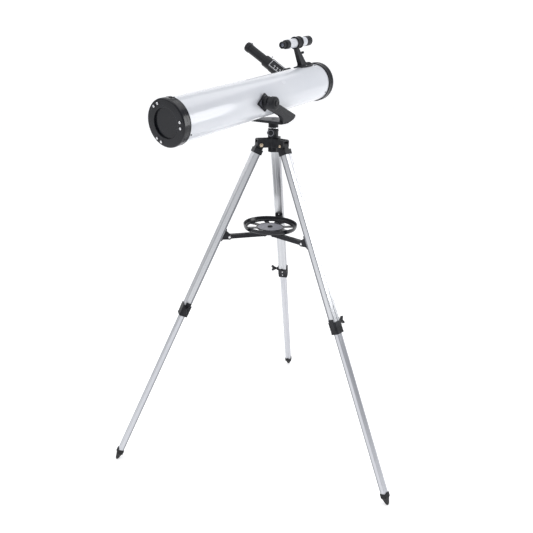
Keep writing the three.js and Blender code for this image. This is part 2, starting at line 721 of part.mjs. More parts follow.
// Three pairs of push and pull screws, spread round the edge of the mirror cell.
const mirrorScrews = (radius, low, high) => MIRROR_SCREWS.map((turn) =>
  moved(rod(radius, along(low), along(high), 12, 'y'), 0, 0, MIRROR_SCREW_CIRCLE).rotate([0, turn, 0]));

function mirrorCell() {
  const cell = turned([
    [0, along(CELL_RECESS)], [47.4, along(CELL_RECESS)], [47.4, along(9)],
    [43, along(21)], [MIRROR_RADIUS + GAP, along(21)], [MIRROR_RADIUS + GAP, along(MIRROR_BACK - GAP)],
    [0, along(MIRROR_BACK - GAP)],
  ], 32, 'y');
  return join(cell, ...mirrorScrews(MIRROR_SCREW_RADIUS, -3.3, CELL_RECESS + 1));
}

// The mirror's front is dished to its focal length.
function primaryMirror() {
  const front = MIRROR_BACK + MIRROR_THICK;
  const dish = (r) => (r * r - MIRROR_RADIUS * MIRROR_RADIUS) / (4 * FOCAL_LENGTH);
  const profile = [[0, along(MIRROR_BACK)], [MIRROR_RADIUS, along(MIRROR_BACK)]];
  for (const part of [1, 0.5, 0]) {
    const r = part * MIRROR_RADIUS;
    profile.push([r, along(front + dish(r))]);
  }
  return turned(profile, 32, 'y');
}

function frontRing() {
  const skirt = TUBE_RADIUS + GAP + 0.1;
  const back = TUBE_LENGTH - FRONT_RING;
  return turned([
    [skirt, along(back)],
    [RING_RADIUS, along(back)],
    [RING_RADIUS, along(TUBE_LENGTH - 1.4)],
    [RING_RADIUS - 1.4, along(TUBE_LENGTH)],
    [45.6, along(TUBE_LENGTH)],
    [45.6, along(TUBE_LENGTH - 3.6)],
    [skirt, along(TUBE_LENGTH - 3.6)],
  ], ROUND, 'y');
}

// Three thin vanes carry the block that the small flat mirror sits on.
function spider() {
  const middle = along(FOCUSER_AT);
  const reach = TUBE_RADIUS - TUBE_WALL - 0.6;
  let body = rod(10.5, middle + 2, middle + 38, 16, 'y');
  for (const turn of [FOCUSER_TURN + 180, FOCUSER_TURN + 60, FOCUSER_TURN - 60]) {
    const vane = block([-0.7, middle + 27, 0], [0.7, middle + 36, reach]);
    body = body.add(vane.rotate([0, turn, 0]));
  }
  const slope = block([-40, -60, -40], [40, 0, 40]).rotate([-45, 0, 0]);
  const clear = moved(slope, 0, middle + 3, 0).rotate([0, FOCUSER_TURN, 0]);
  return cut(body, clear);
}

// A flat mirror cut at 45 degrees, facing the rear of the tube and the focuser.
function secondaryMirror() {
  const middle = along(FOCUSER_AT);
  const body = rod(10.5, middle - 20, middle + 20, 16, 'y').rotate([0, -FOCUSER_TURN, 0]);
  const thick = 2.6 * Math.SQRT2;
  const front = moved(block([-40, -90, -40], [40, 0, 40]).rotate([-45, 0, 0]), 0, middle - thick, 0);
  const back = moved(block([-40, 0, -40], [40, 90, 40]).rotate([-45, 0, 0]), 0, middle - GAP + 2.6, 0);
  return cut(body, front, back).rotate([0, FOCUSER_TURN, 0]);
}

// ---------------------------------------------------------------- focuser
// Focuser frame: origin on the optical axis, +Z out along the drawtube.
function focuserHousing() {
  const panelHalf = 12;
  const panelFace = HOUSING_RADIUS + 2;
  const saddle = cut(
    join(
      block([-23, -23, 30], [23, 23, FOCUSER_BASE + 5]),
      rod(HOUSING_RADIUS, 40, HOUSING_TOP, 24),
      block([8, -panelHalf, 52], [panelFace, panelHalf, HOUSING_TOP]).rotate([0, 0, PANEL_TURN]),
      block([-FOCUS_SHAFT_X - 5, -15, FOCUS_SHAFT_Z - 11], [-8, 15, FOCUS_SHAFT_Z + 9]),
      turned([[0, HOUSING_TOP - 1], [COLLAR_RADIUS, HOUSING_TOP - 1], [COLLAR_RADIUS, COLLAR_TOP - 2],
        [COLLAR_RADIUS - 1.5, COLLAR_TOP], [0, COLLAR_TOP]], 24),
    ),
    rod(TUBE_RADIUS + GAP, -70, 70, ROUND, 'y'),
  );
  let body = cut(
    saddle,
    rod(DRAWTUBE_RADIUS + RUN, 0, COLLAR_TOP + 5, 24),
    block([-RACK_FACE - GAP, -4, 0], [-DRAWTUBE_RADIUS + 3, 4, COLLAR_TOP - 3]),
    moved(rod(PINION_RADIUS + RUN, -40, 40, 12, 'y'), -FOCUS_SHAFT_X, 0, FOCUS_SHAFT_Z),
    moved(rod(2.4 + GAP, 0, 40, 10, 'x').rotate([0, 0, 90 + PANEL_TURN]), 0, 0, COLLAR_TOP - 10),
  );
  for (const low of [60, 72, 84]) {
    const groove = block([panelFace - 1.2, -9, low], [panelFace + 1, 9, low + 8]);
    body = body.subtract(groove.rotate([0, 0, PANEL_TURN]));
  }
  return body;
}

// The drawtube, with a toothed rack along its -X side.
function drawtube() {
  const body = ring(DRAWTUBE_RADIUS - 1.6, DRAWTUBE_RADIUS, DRAWTUBE_LOW, DRAWTUBE_END - 9, 24);
  const holder = ring(EYEPIECE_RADIUS + GAP, HOLDER_RADIUS, DRAWTUBE_END - 11, DRAWTUBE_END, 24);
  const teeth = new THREE.Shape();
  const root = DRAWTUBE_RADIUS - 1;
  const pitch = 8;
  teeth.moveTo(-root, DRAWTUBE_LOW);
  for (let z = DRAWTUBE_LOW + 2; z < RACK_TOP - 4; z += pitch) {
    teeth.lineTo(-RACK_FACE + 1.6, z);
    teeth.lineTo(-RACK_FACE, z + 1.6);
    teeth.lineTo(-RACK_FACE, z + 3.6);
    teeth.lineTo(-RACK_FACE + 1.6, z + 5.2);
  }
  teeth.lineTo(-root, RACK_TOP);
  teeth.closePath();
  return cut(
    join(body, holder, raisedAlongY(teeth, 7)),
    moved(rod(1.6 + GAP, 0, 40, 10, 'x').rotate([0, 0, 90 + PANEL_TURN]), 0, 0, DRAWTUBE_END - 3.4),
  );
}

// Focus shaft: a pinion between two ribbed knobs, on the Y axis of its own frame.
function focusKnobs() {
  const knob = [[13, 0], [13, 9.8], [12, 11], [0, 11]];
  const near = knob.map(([r, h]) => [r, h + 25]);
  const far = knob.map(([r, h]) => [r, -h - 25]).reverse();
  return turned([...far, [PINION_RADIUS, -25], [PINION_RADIUS, 25], ...near], 18, 'y');
}

function eyepiece() {
  const top = EYEPIECE_END;
  const r = EYEPIECE_RADIUS;
  return turned([
    [r - 1.4, DRAWTUBE_END - 24], [r, DRAWTUBE_END - 24], [r, DRAWTUBE_END + GAP],
    [r + 2.6, DRAWTUBE_END + GAP], [r + 2.6, top - 2], [r + 1, top],
    [7, top], [5.6, top - 2], [5.6, top - 5], [r - 1.4, top - 6],
  ], 20);
}

function eyepieceScrew() {
  return turned([
    [0, EYEPIECE_RADIUS + 2 * GAP], [1.6, EYEPIECE_RADIUS + 2 * GAP], [1.6, 14], [2.4, 14],
    [2.4, 17.6], [0, 17.6],
  ], 10, 'x');
}

// ---------------------------------------------------------------- finder
// Finder frame: origin where its axis passes over the stalk, +Y forward, +Z up.
function finderTube() {
  const at = (station) => station - STALK_AT;
  const r = FINDER_RADIUS;
  return turned([
    [r - 1.3, at(FINDER_BARREL + GAP)], [r, at(FINDER_BARREL + GAP)], [r, at(FINDER_HOOD)],
    [r + 0.8, at(FINDER_HOOD + 1)], [r + 0.8, at(FINDER_FRONT - 5)],
    [r - 0.4, at(FINDER_FRONT)], [r - 1.3, at(FINDER_FRONT)],
  ], 20, 'y');
}

function finderEyepiece() {
  const at = (station) => station - STALK_AT;
  const r = FINDER_RADIUS;
  return turned([
    [5.4, at(FINDER_REAR)], [8.2, at(FINDER_REAR)], [9.2, at(FINDER_REAR + 2.5)],
    [9.2, at(FINDER_REAR + 8)], [7.6, at(FINDER_REAR + 11)], [7.6, at(FINDER_REAR + 13)],
    [11, at(FINDER_REAR + 15.5)], [11.7, at(FINDER_REAR + 19)], [11.4, at(FINDER_BARREL)],
    [r - 1.6, at(FINDER_BARREL)], [r - 1.6, at(FINDER_BARREL + 14)], [5.4, at(FINDER_BARREL + 14)],
  ], 20, 'y');
}

function finderObjective() {
  const at = (station) => station - STALK_AT;
  const r = FINDER_RADIUS - 1.3 - GAP;
  return turned([
    [0, at(FINDER_FRONT - 15.6)], [r, at(FINDER_FRONT - 14.4)], [r, at(FINDER_FRONT - 11.6)],
    [0, at(FINDER_FRONT - 10)],
  ], 20, 'y');
}

function finderBracket() {
  const bore = FINDER_RADIUS + GAP;
  const sleeve = join(
    ring(bore, 14.4, -13, 13, 20, 'y'),
    ring(bore, 16.4, -13, -8.6, 20, 'y'),
    ring(bore, 15.8, 7, 13, 20, 'y'),
  );
  const stalk = new THREE.Shape();
  const drop = FINDER_HEIGHT - TUBE_RADIUS;
  stalk.moveTo(-12, -FINDER_RADIUS - 0.8);
  stalk.lineTo(1, -FINDER_RADIUS - 0.8);
  stalk.lineTo(30, -drop + 9);
  stalk.lineTo(40, -drop + 9.6);
  stalk.quadraticCurveTo(52, -drop + 9, 60, -drop + 3);
  stalk.lineTo(60, -drop - 8);
  stalk.lineTo(-6, -drop - 8);
  stalk.lineTo(-6, -drop + 2.4);
  stalk.quadraticCurveTo(2, -drop + 3, 5, -drop + 6);
  stalk.closePath();
  const web = raisedAlongX(stalk, -6, 6, 2);
  const saddle = ring(TUBE_RADIUS - 4, TUBE_RADIUS + 3.4, -6, 62, ROUND, 'y');
  const wedge = block([-17, -30, TUBE_RADIUS - 16], [17, 70, TUBE_RADIUS + 8]);
  const clampKnob = join(rod(1.6, 6, 23, 8, 'y'), rod(3.4, 21.5, 29.5, 14, 'y'));
  const foot = moved(saddle.intersect(wedge), 0, 0, -FINDER_HEIGHT);
  return cut(
    join(sleeve, web, foot, moved(clampKnob, 0, 0, -FINDER_KNOB_DROP)),
    moved(rod(TUBE_RADIUS + GAP, -70, 90, ROUND, 'y'), 0, 0, -FINDER_HEIGHT),
    moved(rod(2 + GAP, 10, 22, 10), 0, 10, 0),
  );
}

// ---------------------------------------------------------------- assembly
function addFocuser(tube) {
  const frame = groupAt(0, along(FOCUSER_AT), 0);
  frame.rotation.y = degrees(FOCUSER_TURN);
  frame.add(named('focuser_housing', focuserHousing(), blackPlastic()));
  frame.add(named('drawtube', drawtube(), blackPlastic()));
  const shaft = groupAt(-FOCUS_SHAFT_X, 0, FOCUS_SHAFT_Z);
  shaft.add(named('focus_knobs', focusKnobs(), blackPlastic()));
  frame.add(shaft);
  frame.add(named('eyepiece', eyepiece(), blackPlastic()));
  const holderScrew = groupAt(0, 0, DRAWTUBE_END - 3.4);
  holderScrew.rotation.z = degrees(90 + PANEL_TURN);
  holderScrew.add(named('eyepiece_screw', eyepieceScrew(), chrome()));
  frame.add(holderScrew);
  tube.add(frame);
}

function addFinder(tube) {
  const around = groupAt(0, 0, 0);
  around.rotation.y = degrees(FINDER_TURN);
  const frame = groupAt(0, along(STALK_AT), FINDER_HEIGHT);
  frame.add(named('finder_bracket', finderBracket(), blackPlastic()));
  frame.add(named('finder_tube', finderTube(), whitePaint()));
  frame.add(named('finder_eyepiece', finderEyepiece(), blackPlastic()));
  frame.add(named('finder_objective', finderObjective(), glass()));
  around.add(frame);
  tube.add(around);
}

function addTube(parent) {
  const tube = groupAt(0, -PIVOT_BACK, PIVOT_HEIGHT);
  tube.rotation.x = degrees(TUBE_TILT);
  tube.add(named('main_tube', mainTube(), whitePaint()));
  tube.add(named('rear_cell', rearCell(), blackGloss()));
  tube.add(named('mirror_cell', mirrorCell(), blackGloss()));
  tube.add(named('primary_mirror', primaryMirror(), mirror()));
  tube.add(named('front_ring', frontRing(), blackGloss()));
  tube.add(named('spider', spider(), blackPlastic()));
  tube.add(named('secondary_mirror', secondaryMirror(), mirror()));
  tube.add(named('side_bracket_right', sideBracket(), blackPlastic()));
  tube.add(named('side_bracket_left', sideBracket().mirror([1, 0, 0]), blackPlastic()));
  tube.add(named('altitude_bolt_right', altitudeBolt(), chrome()));
  tube.add(named('altitude_bolt_left', altitudeBolt().mirror([1, 0, 0]), chrome()));
  tube.add(named('altitude_knob_right', altitudeKnob(), blackPlastic()));
  tube.add(named('altitude_knob_left', altitudeKnob().mirror([1, 0, 0]), blackPlastic()));
  addFocuser(tube);
  addFinder(tube);
  parent.add(tube);
}

function telescope() {
  const assembly = groupAt(0, 0, 0);
  assembly.add(named('hub_body', hubBody(), blackPlastic()));
  const washer = ring(SPINDLE_RADIUS + RUN, COLUMN_RADIUS - 0.2, COLUMN_TOP + GAP, NECK_BOTTOM - GAP, 32);
  assembly.add(named('azimuth_washer', washer, chrome()));
  const lock = groupAt(0, 0, AZIMUTH_LOCK_HEIGHT);
  lock.rotation.set(Math.PI / 2, 0, degrees(AZIMUTH_LOCK_TURN), 'ZXY');
  lock.add(named('azimuth_lock_knob', azimuthLockKnob(), blackPlastic()));
  assembly.add(lock);
  addLegs(assembly);
  assembly.add(named('accessory_tray', accessoryTray(), blackGloss()));
  assembly.add(named('spreader_hub', spreaderHub(), blackPlastic()));
  assembly.add(named('tray_screw', trayScrew(), blackPlastic()));
  assembly.add(named('yoke_frame', yokeFrame(), blackPlastic()));
  assembly.add(named('azimuth_spindle', azimuthSpindle(), chrome()));
  addTube(assembly);
  return assembly;
}

const group = new THREE.Group();
const assembly = telescope();
const extent = new THREE.Box3().setFromObject(assembly, true);
const middle = extent.getCenter(new THREE.Vector3());
assembly.position.set(-middle.x, -middle.y, -extent.min.z);
group.add(assembly);
group.updateMatrixWorld(true);

export default group;
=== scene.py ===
"""Looks for a reflecting telescope on a fork mount and an aluminium tripod."""
import math
import bmesh
import bpy
from mathutils import Matrix, Vector
from mathutils.geometry import tessellate_polygon


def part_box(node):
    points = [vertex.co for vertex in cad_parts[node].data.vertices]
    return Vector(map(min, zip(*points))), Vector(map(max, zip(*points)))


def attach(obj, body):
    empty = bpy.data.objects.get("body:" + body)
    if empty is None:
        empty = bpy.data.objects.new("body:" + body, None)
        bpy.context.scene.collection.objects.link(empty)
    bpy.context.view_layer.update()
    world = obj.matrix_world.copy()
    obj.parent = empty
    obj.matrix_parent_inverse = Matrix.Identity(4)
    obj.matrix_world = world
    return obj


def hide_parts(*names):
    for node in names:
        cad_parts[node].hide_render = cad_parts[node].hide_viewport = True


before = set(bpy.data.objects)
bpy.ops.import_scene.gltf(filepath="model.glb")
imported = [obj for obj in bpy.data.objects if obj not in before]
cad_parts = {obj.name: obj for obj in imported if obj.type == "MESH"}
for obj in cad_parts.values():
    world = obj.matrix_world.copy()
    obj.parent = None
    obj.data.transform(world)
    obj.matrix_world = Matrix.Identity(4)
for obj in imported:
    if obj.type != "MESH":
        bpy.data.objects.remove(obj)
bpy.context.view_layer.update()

# ---------------------------------------------------------------- the part's dimensions, mm
MM = 0.001
HINGE_HEIGHT, HINGE_RADIUS, FOOT_RADIUS = 938.4, 36.9, 468.7
LEG_AZIMUTHS = {1: 112.7, 2: 232.7, 3: 352.7}
LEG_TILT = math.degrees(math.atan2(FOOT_RADIUS - HINGE_RADIUS, HINGE_HEIGHT))
LEG_LENGTH = math.hypot(FOOT_RADIUS - HINGE_RADIUS, HINGE_HEIGHT)
UPPER_WIDTH, UPPER_DEPTH, LOWER_WIDTH, LOWER_DEPTH = 25, 20, 19.4, 14.8
UPPER_TOP, LOWER_TOP, COLLAR_BOTTOM, COLLAR_LENGTH, COLLAR_SCREW = 15.6, 455, 529, 42, 14
FOOT_LENGTH, SOCKET_TOP, SOCKET_END = 36, 12, 25.4
HUB_BOTTOM, LUG_BOTTOM, LUG_TOP, COLUMN_RADIUS, COLUMN_TOP = 918, 931, 954.5, 14, 981
LUG_REACH, LUG_WALL, TONGUE_WIDTH = 47, 4, 16
LOCK_HEIGHT, LOCK_TURN = 971, 18
ARM_PIVOT_RADIUS, ARM_PIVOT_HEIGHT, ARM_INNER_RADIUS = 122, 684, 18
ARM_WIDTH, ARM_HEIGHT = 13, 11.4
TRAY_RADIUS, TRAY_TOP, TRAY_FLOOR, TRAY_DISC, TRAY_HOLES = 76.8, 714, 701, 36, 8
YOKE_BOTTOM, YOKE_TOP, NECK_BOTTOM, NECK_RADIUS = 999, 1005, 984, 13.5
PIVOT_BACK, PIVOT_HEIGHT = 119.7, 1060.1
BOSS_RADIUS, BOSS_INNER, BOSS_OUTER = 16, 73.6, 88
TILT_KNOB_RADIUS, TILT_KNOB_INNER, PLATE_FACE = 15.4, 54.4, 53.8
ARM_LEAN, ARM_THICK, ARM_ROOT, AXLE_RADIUS = 0.45, 11, 50.5, 4
TUBE_TILT, TUBE_LENGTH, TUBE_RADIUS, TUBE_WALL, PIVOT_AT = 5.63, 640, 50, 1.2, 295.1
RING_RADIUS, REAR_RING, FRONT_RING, CELL_WINDOW, CELL_RECESS = 53.3, 23.5, 23.4, 33.4, 4.9
MIRROR_RADIUS, MIRROR_BACK, MIRROR_THICK, FOCUS = 38, 12.3, 9, 700
FOCUSER_AT, FOCUSER_TURN, PANEL_TURN = 532.4, -59.4, -45
HOUSING_RADIUS, HOUSING_TOP, COLLAR_RADIUS, COLLAR_TOP = 17, 102, 16, 128
DRAWTUBE_RADIUS, DRAWTUBE_LOW, DRAWTUBE_END = 12.3, 58, 195.6
HOLDER_RADIUS, EYEPIECE_RADIUS, EYEPIECE_END, SADDLE_TOP = 13.6, 10.2, 199, 54.6
PINION_RADIUS, RACK_TOP, SHAFT_Z = 3, 108, 67.6
RACK_FACE = DRAWTUBE_RADIUS + 3
SHAFT_X = RACK_FACE + PINION_RADIUS + 0.3
FINDER_TURN, FINDER_HEIGHT, FINDER_REAR, FINDER_FRONT = -5.5, 114.2, 469.5, 608
FINDER_BARREL, FINDER_HOOD, FINDER_RADIUS, STALK_AT, KNOB_DROP = 498.5, 583, 12.3, 544.5, 28.2
SCREW_RADIUS, SCREW_CIRCLE, SCREW_TURNS = 3, 44, (-38.5, -21.5, 81.5, 98.5, 201.5, 218.5)
TAU = 2 * math.pi

# ---------------------------------------------------------------- camera and stage
FOCAL_LENGTH, SENSOR_WIDTH, FAR_CLIP = 40.736735, 36, 50
CAMERA_SPOT, CAMERA_HEADING = (920.3, -1370.1, 1209.7), 33.89
CAMERA_YAW, CAMERA_PITCH, CAMERA_ROLL = -0.0042, -0.3635, 0.0306
FLOOR_GLOW, SKY_COLOUR, SKY_STRENGTH = 0.52, (0.93, 0.95, 1.0, 1), 0.42
FLOOR_REACH, FLOOR_HALF_WIDTH, BACK_WALL, FLOOR_BEND, BEND_STEPS, FLOOR_HEADING = 6.0, 9, 5.0, 1.6, 16, 33.9


# ---------------------------------------------------------------- frames of the moving groups
def at(x, y, z):
    return Matrix.Translation(Vector((x, y, z)) * MM)


def turn(angle, axis):
    return Matrix.Rotation(math.radians(angle), 4, axis)


washer_low, washer_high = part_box("azimuth_washer")
BASE = Matrix.Translation(((washer_low.x + washer_high.x) / 2, (washer_low.y + washer_high.y) / 2,
                           washer_low.z - (COLUMN_TOP + 0.3) * MM))
TUBE = BASE @ at(0, -PIVOT_BACK, PIVOT_HEIGHT) @ turn(TUBE_TILT, "X")
FOCUSER = TUBE @ at(0, FOCUSER_AT - PIVOT_AT, 0) @ turn(FOCUSER_TURN, "Y")
FINDER = TUBE @ turn(FINDER_TURN, "Y") @ at(0, STALK_AT - PIVOT_AT, FINDER_HEIGHT)
SPOKE = {n: BASE @ turn(azimuth, "Z") for n, azimuth in LEG_AZIMUTHS.items()}
LEG = {n: SPOKE[n] @ at(HINGE_RADIUS, 0, HINGE_HEIGHT) @ turn(-LEG_TILT, "Y") for n in SPOKE}


def along(station):
    return station - PIVOT_AT


# ---------------------------------------------------------------- mesh making, mm
def circle(radius, sides=48, start=0.0, centre=(0, 0)):
    return [(centre[0] + radius * math.cos(start + TAU * i / sides),
             centre[1] + radius * math.sin(start + TAU * i / sides)) for i in range(sides)]


def arc(centre, radius, start, end, steps):
    """Points of an arc, angles in degrees."""
    points = []
    for i in range(steps + 1):
        angle = math.radians(start + (end - start) * i / steps)
        points.append((centre[0] + radius * math.cos(angle), centre[1] + radius * math.sin(angle)))
    return points


def curve(a, b, c, steps=6):
    """Points of a quadratic curve after its first point."""
    points = []
    for i in range(1, steps + 1):
        t = i / steps
        points.append(tuple((1 - t) ** 2 * p + 2 * t * (1 - t) * q + t * t * r for p, q, r in zip(a, b, c)))
    return points


def fillet(points, radius, steps=3, closed=True):
    """Rounds each corner of an outline."""
    result = []
    count = len(points)
    for i, point in enumerate(points):
        if not closed and i in (0, count - 1):
            result.append(point)
            continue
        here = Vector(point)
        back = Vector(points[i - 1]) - here
        ahead = Vector(points[(i + 1) % count]) - here
        cut = min(radius, 0.45 * back.length, 0.45 * ahead.length)
        if cut < 0.02 or back.angle(ahead, math.pi) > 2.9:
            result.append(point)
            continue
        first = here + back.normalized() * cut
        last = here + ahead.normalized() * cut
        result.append(tuple(first))
        result.extend(curve(tuple(first), point, tuple(last), steps))
    return result


def place(axis, u, v, h):
    if axis == "x":
        return Vector((h, u, v))
    if axis == "y":
        return Vector((u, h, v))
    return Vector((u, v, h))


def lathe(profile, sides=64, axis="z", wave=None, tint=0):
    """A (radius, height) profile turned about an axis; closed unless it begins and ends on the axis."""
    verts, rings, faces = [], [], []
    for radius, height in profile:
        ring = []
        if radius < 1e-6:
            ring = [len(verts)]
            verts.append(place(axis, 0, 0, height))
        else:
            for i in range(sides):
                angle = TAU * i / sides
                reach = wave(angle, radius, height) if wave else radius
                ring.append(len(verts))
                verts.append(place(axis, reach * math.cos(angle), reach * math.sin(angle), height))
        rings.append(ring)
    pairs = list(zip(rings, rings[1:]))
    if len(rings[0]) > 1 or len(rings[-1]) > 1:
        pairs.append((rings[-1], rings[0]))
    for a, b in pairs:
        for i in range(sides):
            j = (i + 1) % sides
            if len(a) == 1 and len(b) == 1:
                break
            if len(a) == 1:
                faces.append((a[0], b[i], b[j]))
            elif len(b) == 1:
                faces.append((a[i], b[0], a[j]))
            else:
                faces.append((a[i], b[i], b[j], a[j]))
    return verts, faces, tint


def spun(profile, bend, steps=3, sides=64, axis="z", wave=None, tint=0):
    """A turned body with rounded corners; its profile is open where it starts on the axis."""
    return lathe(fillet(profile, bend, steps, profile[0][0] > 0), sides, axis, wave, tint)


def prism(outline, low, high, axis="z", holes=(), tint=0):
    """An outline pulled straight from one level to another, with holes through it."""
    loops = [list(outline)] + [list(hole) for hole in holes]
    flat = [point for loop in loops for point in loop]
    count = len(flat)
    verts = [place(axis, u, v, low) for u, v in flat] + [place(axis, u, v, high) for u, v in flat]
    faces = []
    first = 0
    for loop in loops:
        size = len(loop)
        for i in range(size):
            j = (i + 1) % size
            faces.append((first + i, first + j, first + j + count, first + i + count))
        first += size
    if holes:
        for triangle in tessellate_polygon([[Vector((u, v, 0)) for u, v in loop] for loop in loops]):
            faces.append(tuple(triangle))
            faces.append(tuple(i + count for i in triangle))
    else:
        faces.append(tuple(range(count)))
        faces.append(tuple(range(count, 2 * count)))
    return verts, faces, tint


def loft(levels, tint=0):
    """Outlines of equal count stacked along Z, closed at both ends."""
    count = len(levels[0][0])
    verts = [Vector((u, v, z)) for outline, z in levels for u, v in outline]
    faces = []
    for k in range(len(levels) - 1):
        for i in range(count):
            a, b = k * count + i, k * count + (i + 1) % count
            faces.append((a, b, b + count, a + count))
    faces.append(tuple(range(count)))
    faces.append(tuple(range(len(verts) - count, len(verts))))
    return verts, faces, tint


def block(low, high, tint=0):
    outline = [(low[0], low[1]), (high[0], low[1]), (high[0], high[1]), (low[0], high[1])]
    return prism(outline, low[2], high[2], tint=tint)


def rod(radius, low, high, sides=32, axis="z", round_off=0.4, tint=0):
    profile = [(0, low), (radius, low), (radius, high), (0, high)]
    return spun(profile, round_off, 2, sides, axis, tint=tint)


def ring(inner, outer, low, high, sides=64, axis="z", round_off=0.4, tint=0):
    profile = [(inner, low), (outer, low), (outer, high), (inner, high)]
    return spun(profile, round_off, 2, sides, axis, tint=tint)


def shifted(part, matrix):
    """A part moved by a matrix whose translation is in metres."""
    verts, faces, tint = part
    return [(matrix @ (v * MM)) / MM for v in verts], faces, tint


def warped(part, change):
    verts, faces, tint = part
    return [change(v) for v in verts], faces, tint


def tinted(part, tint):
    return part[0], part[1], tint


def screw_head(radius, height, sink=0.6, tint=0):
    """A domed screw head with a hexagonal socket, standing on Z = 0."""
    socket = radius * 0.45

    def hexagon(angle, reach, level):
        if reach > socket * 1.2:
            return reach
        step = math.pi / 3
        return reach * math.cos(math.pi / 6) / math.cos((angle % step) - step / 2)

    profile = [(0, height - sink * 1.6), (socket * 0.98, height - sink * 1.6), (socket, height - 0.1),
               (radius * 0.62, height), (radius * 0.86, height * 0.86), (radius, height * 0.45),
               (radius, -0.6), (0, -0.6)]
    return lathe(profile, 36, "z", wave=hexagon, tint=tint)


def face_outward(mesh):
    work = bmesh.new()
    work.from_mesh(mesh)
    bmesh.ops.recalc_face_normals(work, faces=work.faces)
    work.to_mesh(mesh)
    work.free()


def piece(name, parts, body, looks, place_at=BASE, stands_for=(), bevel=0.0, segments=2, corner=32,
          baked=True):
    """Makes one object out of parts in mm, gives it its finish, and lets it ride on a body."""
    if isinstance(parts, tuple):
        parts = [parts]
    mesh = bpy.data.meshes.new(name)
    verts, faces, tints = [], [], []
    for part_verts, part_faces, tint in parts:
        base = len(verts)
        verts.extend(tuple(v * MM) for v in part_verts)
        faces.extend(tuple(i + base for i in face) for face in part_faces)
        tints.extend([tint] * len(part_faces))
    mesh.from_pydata(verts, [], faces)
    mesh.polygons.foreach_set("material_index", tints)
    face_outward(mesh)
    mesh.shade_smooth()
    mesh.set_sharp_from_angle(angle=math.radians(40))
    made = bpy.data.objects.new(name, mesh)
    bpy.context.scene.collection.objects.link(made)
    if baked:
        mesh.transform(place_at)
    else:
        made.matrix_world = place_at
    for look in looks if isinstance(looks, (list, tuple)) else [looks]:
        mesh.materials.append(look)
    if bevel:
        soft = made.modifiers.new("edges", "BEVEL")
        soft.width = bevel * MM
        soft.segments = segments
        soft.limit_method = "ANGLE"
        soft.angle_limit = math.radians(corner)
        soft.use_clamp_overlap = True
    weighted = made.modifiers.new("normals", "WEIGHTED_NORMAL")
    weighted.keep_sharp = True
    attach(made, body)
    if stands_for:
        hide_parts(*stands_for)
    return made


# ---------------------------------------------------------------- finishes
def finish(name, dark, light, rough, metallic=0.0, patch=60.0, grain=1500.0, stretch=(1, 1, 1),
           bump=0.08, depth=0.00015, coat=0.0, coat_rough=0.08, wear=None, wear_amount=0.5,
           specular=0.5, patch_detail=4.0):
    """A procedural surface: broad colour patches, fine grain in relief, uneven gloss, worn edges."""
    look = bpy.data.materials.new(name)
    look.use_nodes = True
    tree = look.node_tree
    tree.nodes.clear()
    new = tree.nodes.new
    link = tree.links.new
    out = new("ShaderNodeOutputMaterial")
    shader = new("ShaderNodeBsdfPrincipled")
    link(shader.outputs["BSDF"], out.inputs["Surface"])
    shader.inputs["Metallic"].default_value = metallic
    shader.inputs["Specular IOR Level"].default_value = specular
    shader.inputs["Coat Weight"].default_value = coat
    shader.inputs["Coat Roughness"].default_value = coat_rough
    spot = new("ShaderNodeTexCoord")
    scaled = new("ShaderNodeMapping")
    scaled.inputs["Scale"].default_value = stretch
    link(spot.outputs["Object"], scaled.inputs["Vector"])

    def noise(scale, detail, roughness=0.55):
        node = new("ShaderNodeTexNoise")
        node.inputs["Scale"].default_value = scale
        node.inputs["Detail"].default_value = detail
        node.inputs["Roughness"].default_value = roughness
        link(scaled.outputs["Vector"], node.inputs["Vector"])
        return node.outputs["Fac"]

    def spread(source, low, high, to_low, to_high):
        node = new("ShaderNodeMapRange")
        for socket, value in zip(("From Min", "From Max", "To Min", "To Max"), (low, high, to_low, to_high)):
            node.inputs[socket].default_value = value
        link(source, node.inputs["Value"])
        return node.outputs["Result"]

    def mix(factor, first, second):
        node = new("ShaderNodeMix")
        node.data_type = "RGBA"
        for socket, value in ((node.inputs[0], factor), (node.inputs[6], first), (node.inputs[7], second)):
            if hasattr(value, "links"):
                link(value, socket)
            elif isinstance(value, tuple):
                socket.default_value = (*value, 1)
            else:
                socket.default_value = value
        return node.outputs[2]

    patches = noise(patch, patch_detail)
    fine = noise(grain, 3.0, 0.65)
    colour = mix(spread(patches, 0.3, 0.7, 0, 1), dark, light)
    speck = tuple(min(1, c * 1.25 + 0.012) for c in light)
    colour = mix(spread(fine, 0.62, 0.8, 0, 0.5), colour, speck)
    if wear:
        edges = new("ShaderNodeNewGeometry")
        worn = new("ShaderNodeMath")
        worn.operation = "MULTIPLY"
        link(spread(edges.outputs["Pointiness"], 0.52, 0.6, 0, wear_amount), worn.inputs[0])
        link(spread(patches, 0.35, 0.65, 0.2, 1), worn.inputs[1])
        colour = mix(worn.outputs[0], colour, wear)
    link(colour, shader.inputs["Base Color"])
    link(spread(patches, 0.25, 0.75, rough[0], rough[1]), shader.inputs["Roughness"])
    relief = new("ShaderNodeBump")
    relief.inputs["Strength"].default_value = bump
    relief.inputs["Distance"].default_value = depth
    link(fine, relief.inputs["Height"])
    link(relief.outputs["Normal"], shader.inputs["Normal"])
    return look


